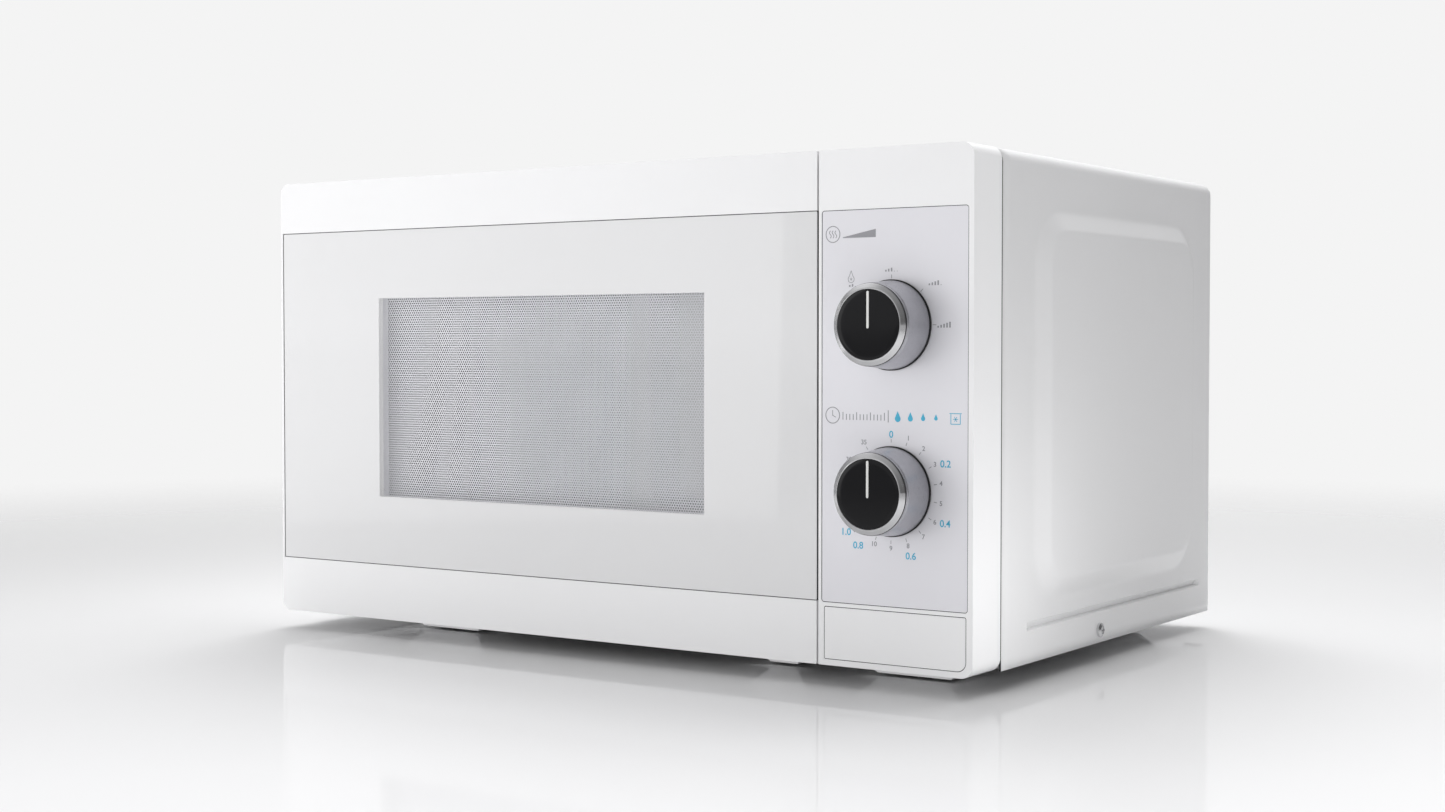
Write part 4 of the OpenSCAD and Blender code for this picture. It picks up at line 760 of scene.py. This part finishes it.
def make_casing_seam():
    """Black strip between the front frame and the casing, just under the surface: painted shade of the gap."""
    bm = bmesh.new()
    y0, y1 = door_hi.y + SEAM_CLEAR, CASING_Y - SEAM_CLEAR
    turns = [math.radians(90 * k / 8) for k in range(9)]

    def arch(d, r):
        left = [(-HALF_W + d, BOTTOM)]
        left += [(-HALF_W + d + r * (1 - math.cos(a)), TOP - d - r * (1 - math.sin(a))) for a in turns]
        return left + [(-x, z) for x, z in reversed(left)]

    outline = arch(SEAM_SUNK, CORNER - SEAM_SUNK) + arch(SEAM_SUNK + SEAM_THICK, SEAM_INNER_R)[::-1]
    rings = [[bm.verts.new((x, y, z)) for x, z in outline] for y in (y0, y1)]
    n, half = len(outline), len(outline) // 2
    for i in range(n):
        k = (i + 1) % n
        bm.faces.new((rings[0][i], rings[0][k], rings[1][k], rings[1][i]))
    for ring in rings:
        for i in range(half - 1):
            bm.faces.new((ring[i], ring[i + 1], ring[n - 2 - i], ring[n - 1 - i]))
    bmesh.ops.recalc_face_normals(bm, faces=bm.faces)
    piece("casing_seam", bm, GAP_SHADE, "housing", weighted=False)


# painted shade in the gaps around the door's pane, the control plate and the open button
make_seam("pane_bead", (glass_lo.x, glass_lo.z), (glass_hi.x, glass_hi.z), (0.6,) * 4, 0.28 * MM,
          glass_lo.y + 0.15 * MM, 2 * MM, "door")
make_seam("plate_bead", (plate_lo.x, plate_lo.z), (plate_hi.x, plate_hi.z), (1.2,) * 4, 0.42 * MM,
          plate_lo.y - 0.04 * MM, 0.3 * MM, "housing")
BUTTON_TOP = BOTTOM + 27.55 * MM    # top of the button's face, under its hidden stop lip
make_seam("button_bead", (button_lo.x, button_lo.z), (button_hi.x, BUTTON_TOP), (0.7, 4.3, 0.7, 0.7), 0.45 * MM,
          FRONT + 0.2 * MM, 1 * MM, "housing")
make_casing_seam()

# ---- Knobs --------------------------------------------------------------------------------------

CHROME = metal("knob_ring", (0.66, 0.66, 0.67), 0.12, grain=0.000001, spread=0.01)
POINTER = moulded("knob_pointer", (0.72, 0.72, 0.70), 0.35, 0.000004)
# black of the dark line on each knob, and of the ring of painted shadow at each knob's foot
BASE_BLACK = moulded("knob_base", (0.012, 0.012, 0.013), 0.6)

# the knob's profiles in mm: radius from its axis and depth behind the tip of its CAD node
TIP_R = 19.0
GROOVE_R = TIP_R - 0.28     # floor of the groove around the skirt
RIM_R = TIP_R - 0.12        # front rim of the skirt
SKIRT = [(TIP_R + 0.08, 3.6), (TIP_R - 0.15, 3.45), (GROOVE_R, 3.3), (GROOVE_R, 3.05), (TIP_R - 0.15, 2.9),
         (TIP_R + 0.02, 2.75), (TIP_R, 1.95), (RIM_R, 1.75), (TIP_R - 0.3, 1.7), (0.0, 1.7)]
LINE = [(17.9, 1.7), (RIM_R, 1.7), (RIM_R, 1.3), (17.9, 1.3)]
RING = [(15.4, 1.3), (18.6, 1.3), (18.72, 1.18), (18.72, 1.05), (18.6, 0.95), (18.1, 0.62), (17.5, 0.22),
        (16.9, -0.2), (16.55, -0.42), (16.35, -0.5), (16.2, -0.4), (16.15, 0.0), (15.4, 0.0)]
FACE = [(0.0, 1.2), (15.9, 1.2), (16.1, 0.0), (16.1, -0.42), (15.9, -0.5), (14.0, -0.56), (9.0, -0.62),
        (0.0, -0.66)]
POINTER_HALF, POINTER_TAIL, POINTER_HEAD = 0.62 * MM, 1.7 * MM, 15.2 * MM


def make_knob(kind):
    """Satin skirt with a groove near its front, a dark line, a bright ring and a glossy black disc."""
    lo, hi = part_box(kind + "_knob")
    centre = ((lo.x + hi.x) / 2, (lo.z + hi.z) / 2)
    base_r = (hi.x - lo.x) / 2
    base, tip = hi.y, lo.y
    body = kind + "_dial"

    def part(name, profile, material, slot, stands_for=()):
        """A turned piece from radii and y positions in metres."""
        bm = bmesh.new()
        add_lathe(bm, profile, centre)
        piece(kind + name, bm, material, body, stands_for, 30, False)

    def behind_tip(profile):
        return [(r * MM, tip + d * MM) for r, d in profile]

    foot = [(0.0, tip + 5 * MM), ((TIP_R - 1.8) * MM, tip + 5 * MM), (base_r - 1.8 * MM, base),
            (base_r - 0.25 * MM, base), (base_r, base - 0.25 * MM), ((TIP_R + 0.12) * MM, base - 16.2 * MM)]
    part("_knob_skirt", foot + behind_tip(SKIRT), MATERIALS["knob_skirt"], "knob_skirt", [kind + "_knob"])
    part("_knob_line", behind_tip(LINE), BASE_BLACK, "black_plastic")
    part("_knob_ring", behind_tip(RING), CHROME, "bright_steel")
    part("_knob_face", behind_tip(FACE), MATERIALS["knob_cap"], "knob_cap", [kind + "_knob_cap"])

    bm = bmesh.new()
    line = rounded((centre[0] - POINTER_HALF, centre[1] - POINTER_TAIL),
                   (centre[0] + POINTER_HALF, centre[1] + POINTER_HEAD), (0.6 * MM,) * 4)
    add_prism(bm, [line], tip - 0.8 * MM, tip - 0.2 * MM, 0.1 * MM, 2)
    piece(kind + "_knob_pointer", bm, POINTER, body)

    # ring of painted shadow in the gap between the knob's foot and the plate
    outer_r, inner_r = base_r + 0.45 * MM, base_r - 1.2 * MM
    shadow_ring = [(inner_r, base - 0.1 * MM), (outer_r - 0.1 * MM, base - 0.1 * MM), (outer_r, base + 0.1 * MM),
                   (outer_r, base + 0.75 * MM), (inner_r, base + 0.75 * MM)]
    part("_knob_base", shadow_ring, BASE_BLACK, "black_plastic")
    return centre


power_at = make_knob("power")
timer_at = make_knob("timer")

# ---- Dial graphics ------------------------------------------------------------------------------

PRINT_Y = plate_lo.y
PRINT_T = 0.05 * MM         # half the marks' thickness
RING_STEPS = 48
DIGIT_SHARE = 0.71          # height of a digit as a share of the font's size
GREY_INK = moulded("grey_ink", (0.30, 0.30, 0.32), 0.5, 0.000002)
CYAN_INK = moulded("cyan_ink", (0.06, 0.42, 0.62), 0.5, 0.000002)


class Print:
    """Flat marks on the control plate, gathered into one thin mesh."""

    def __init__(self, name, material):
        self.name, self.material = name, material
        self.bm = bmesh.new()

    def shape(self, points):
        add_prism(self.bm, [points], PRINT_Y - PRINT_T, PRINT_Y + PRINT_T)

    def bar(self, a, b, width):
        """Straight stroke between two points."""
        a, b = Vector(a), Vector(b)
        side = Vector((-(b - a).y, (b - a).x)).normalized() * width / 2
        self.shape([a - side, b - side, b + side, a + side])

    def ring(self, centre, r, width):
        """Circle drawn with a stroke of that width."""
        turns = [2 * math.pi * k / RING_STEPS for k in range(RING_STEPS)]
        outer, inner = [[Vector((centre[0] + edge * math.cos(a), centre[1] + edge * math.sin(a))) for a in turns]
                        for edge in (r + width / 2, r - width / 2)]
        add_prism(self.bm, [outer, inner[::-1]], PRINT_Y - PRINT_T, PRINT_Y + PRINT_T)

    def stroke(self, points, width):
        for a, b in zip(points, points[1:]):
            self.bar(a, b, width)

    def full_drop(self, centre, h):
        """Filled water drop."""
        r = h * 0.3
        low = Vector((centre[0], centre[1] - h / 2 + r))
        turns = [math.radians(k) for k in range(-35, 216, 10)]
        arc = [low + Vector((r * math.cos(a), -r * math.sin(a))) for a in turns]
        self.shape([Vector((centre[0], centre[1] + h / 2))] + arc[::-1])

    def drop(self, centre, h, width):
        """Outline of a water drop with a small star inside."""
        r = h * 0.29
        low = Vector((centre[0], centre[1] - h / 2 + r))
        turns = [math.radians(k) for k in range(-50, 231, 20)]
        arc = [low + Vector((r * math.cos(a), -r * math.sin(a))) for a in turns]
        tip = Vector((centre[0], centre[1] + h / 2))
        self.stroke([tip] + arc + [tip], width)
        for k in range(3):
            a = math.radians(30 + 60 * k)
            d = Vector((math.cos(a), math.sin(a))) * r * 0.5
            self.bar(low - d, low + d, width * 0.6)

    def figure(self, text, centre, height):
        """Digits, centred, as solid letters of Blender's own font."""
        data = bpy.data.curves.new("figure", "FONT")
        data.body = text
        data.size = height / DIGIT_SHARE
        data.align_x, data.align_y = "CENTER", "CENTER"
        data.extrude = PRINT_T
        data.offset = height * 0.022
        obj = bpy.data.objects.new("figure", data)
        SCENE.collection.objects.link(obj)
        bpy.context.view_layer.update()
        mesh = bpy.data.meshes.new_from_object(obj.evaluated_get(bpy.context.evaluated_depsgraph_get()))
        upright = Matrix.Rotation(math.radians(90), 4, "X")
        mesh.transform(Matrix.Translation((centre[0], PRINT_Y, centre[1])) @ upright)
        self.bm.from_mesh(mesh)
        bpy.data.objects.remove(obj)
        bpy.data.curves.remove(data)
        bpy.data.meshes.remove(mesh)

    def done(self):
        piece(self.name, self.bm, self.material, "housing", (), 35, False)


def around(centre, r, angle):
    """Point at radius r, clockwise from the top."""
    a = math.radians(angle)
    return Vector((centre[0] + r * math.sin(a), centre[1] + r * math.cos(a)))


FINE, MEDIUM, HEAVY = 0.28 * MM, 0.34 * MM, 0.4 * MM     # widths of strokes
grey = Print("dial_marks_grey", GREY_INK)
cyan = Print("dial_marks_cyan", CYAN_INK)


def tick(centre, inner, angle, length):
    """Short radial stroke from a radius in mm."""
    grey.bar(around(centre, inner * MM, angle), around(centre, (inner + length) * MM, angle), FINE)


# timer: one minute is 20 degrees up to 10 minutes, then 5 degrees
SMALL_FIGURE, LARGE_FIGURE = 2.2 * MM, 3.2 * MM
for minute in range(11):
    tick(timer_at, 22.6, 20 * minute, 1.6)
    if minute:
        grey.figure(str(minute), around(timer_at, 26.3 * MM, 20 * minute), SMALL_FIGURE)
for k, angle in enumerate((225, 251, 276, 302, 327)):
    tick(timer_at, 22.6, angle, 1.6)
    grey.figure(str(15 + 5 * k), around(timer_at, 26.6 * MM, angle), SMALL_FIGURE)
cyan.figure("0", around(timer_at, 26.2 * MM, 0), LARGE_FIGURE)
for text, angle in (("0.2", 64.5), ("0.4", 116), ("0.6", 160.5), ("0.8", 214), ("1.0", 230.5)):
    cyan.figure(text, around(timer_at, 31.2 * MM, angle), LARGE_FIGURE)

# power: five levels, each shown by a row of rising bars, with a short dash for each bar not reached
BARS, BAR_PITCH, BAR_W = 5, 1.5 * MM, 0.75 * MM
DASH_HALF, DASH_UP, DASH_W = 0.3 * MM, 0.12 * MM, 0.22 * MM
for level, angle in enumerate((-90, -45, 0, 45, 90), 1):
    tick(power_at, 21.4, angle, 1.8)
    aside = 3.4 * MM if angle == 45 else 0
    foot = around(power_at, (27.2 if angle else 25.9) * MM, angle) + Vector((aside, -1.3 * MM))
    for k in range(BARS):
        x, z = foot.x + (k - BARS // 2) * BAR_PITCH, foot.y
        if k < level:
            grey.bar((x, z), (x, z + (0.8 + 0.45 * k) * MM), BAR_W)
        else:
            grey.bar((x - DASH_HALF, z + DASH_UP), (x + DASH_HALF, z + DASH_UP), DASH_W)
grey.drop((power_at[0] - 21.5 * MM, power_at[1] + 22.6 * MM), 5.6 * MM, 0.26 * MM)

# heads of the two dials: a ringed sign at the left, at x, and the height of each row
SIGN_R = 3.75 * MM
sign_x = plate_lo.x + 5.7 * MM
power_row = power_at[1] + 42.5 * MM
timer_row = timer_at[1] + 34.6 * MM


def at_sign(x, z, row):
    """Point given in mm from the sign's middle."""
    return Vector((sign_x + x * MM, row + z * MM))


# heat waves and a rising wedge
grey.ring((sign_x, power_row), SIGN_R, HEAVY)
WAVE_STEPS = 8
for k in (-1, 0, 1):
    shares = [t / WAVE_STEPS for t in range(WAVE_STEPS + 1)]
    grey.stroke([at_sign(1.5 * k + 0.55 * math.sin(t * 2 * math.pi) + 0.12 * t, -1.7 + 3.4 * t, power_row)
                 for t in shares], MEDIUM)
grey.shape([at_sign(x, z, power_row) for x, z in ((5.4, -1.9), (23, -1.9), (23, 1.9), (5.4, -1.5))])

# clock, ruler, divider, four drops and a pot with a star
grey.ring((sign_x, timer_row), SIGN_R, HEAVY)
grey.bar(at_sign(0, -0.2, timer_row), at_sign(0, 2.4, timer_row), MEDIUM)
grey.bar(at_sign(-0.1, 0, timer_row), at_sign(1.7, -0.9, timer_row), MEDIUM)
for k in range(13):
    x = 5.6 + 1.85 * k
    grey.bar(at_sign(x, -2.0, timer_row), at_sign(x, 1.6 if k % 4 == 0 else 0.7, timer_row), HEAVY)
divider_x = plate_lo.x + 35.5 * MM
grey.bar((divider_x, timer_row - 2.8 * MM), (divider_x, timer_row + 2.8 * MM), HEAVY)
for k in range(4):
    cyan.full_drop((divider_x + (5 + 6.6 * k) * MM, timer_row), (5.0 - 0.7 * k) * MM)
pot = Vector((divider_x + 34.8 * MM, timer_row))
cyan.stroke([pot + Vector(side) * MM for side in ((-2.4, 1.6), (-2.4, -2.9), (2.4, -2.9), (2.4, 1.6))], MEDIUM)
cyan.bar(pot + Vector((-3.1, 1.9)) * MM, pot + Vector((3.1, 1.9)) * MM, MEDIUM)
star = pot + Vector((0, -0.7)) * MM
for k in range(3):
    a = math.radians(60 * k)
    arm = Vector((math.cos(a), math.sin(a))) * 1.3 * MM
    cyan.bar(star - arm, star + arm, 0.26 * MM)
grey.done()
cyan.done()

# ---- Floor --------------------------------------------------------------------------------------

FLOOR_R = 6
FADE_FROM, FADE_TO = 0.45, 1.5      # distance from the oven over which the floor fades away


def make_floor():
    """Pale glossy floor that fades into the backdrop."""
    bm = bmesh.new()
    bmesh.ops.create_circle(bm, cap_ends=True, segments=96, radius=FLOOR_R)
    mesh = bpy.data.meshes.new("floor")
    bm.to_mesh(mesh)
    bm.free()
    floor = bpy.data.objects.new("floor", mesh)
    floor.location = ((cad_lo.x + cad_hi.x) / 2, (cad_lo.y + cad_hi.y) / 2, 0)
    SCENE.collection.objects.link(floor)
    s = Shade("floor", (0.93, 0.93, 0.93), 0.05, Specular_IOR_Level=0.035)
    s.vary_rough(s.noise(3), 0.01)
    clear = s.node("BsdfTransparent")
    mix = s.node("MixShader")
    coord = s.node("TexCoord")
    far = s.node("VectorMath", operation="LENGTH")
    fade = s.node("MapRange", interpolation_type="SMOOTHSTEP")
    fade.inputs["From Min"].default_value = FADE_FROM
    fade.inputs["From Max"].default_value = FADE_TO
    out = s.tree.nodes["Material Output"]
    s.link(coord.outputs["Object"], far.inputs[0])
    s.link(far.outputs["Value"], fade.inputs["Value"])
    s.link(fade.outputs[0], mix.inputs["Fac"])
    s.link(s.bsdf.outputs[0], mix.inputs[1])
    s.link(clear.outputs[0], mix.inputs[2])
    s.link(mix.outputs[0], out.inputs["Surface"])
    mesh.materials.append(s.mat)


make_floor()


def light_only(lamps, name, objects):
    """Lets the lamps fall on the given objects and nothing else."""
    lit = bpy.data.collections.new(name)
    for obj in objects:
        lit.objects.link(obj)
    for lamp in lamps:
        lamp.light_linking.receiver_collection = lit


light_only(OVEN_LIGHTS, "oven", [obj for obj in bpy.data.objects if obj.type == "MESH" and obj.name != "floor"])
for name, lamp in LIT_ALONE.items():
    light_only([lamp], "lit_" + name, [bpy.data.objects[name]])
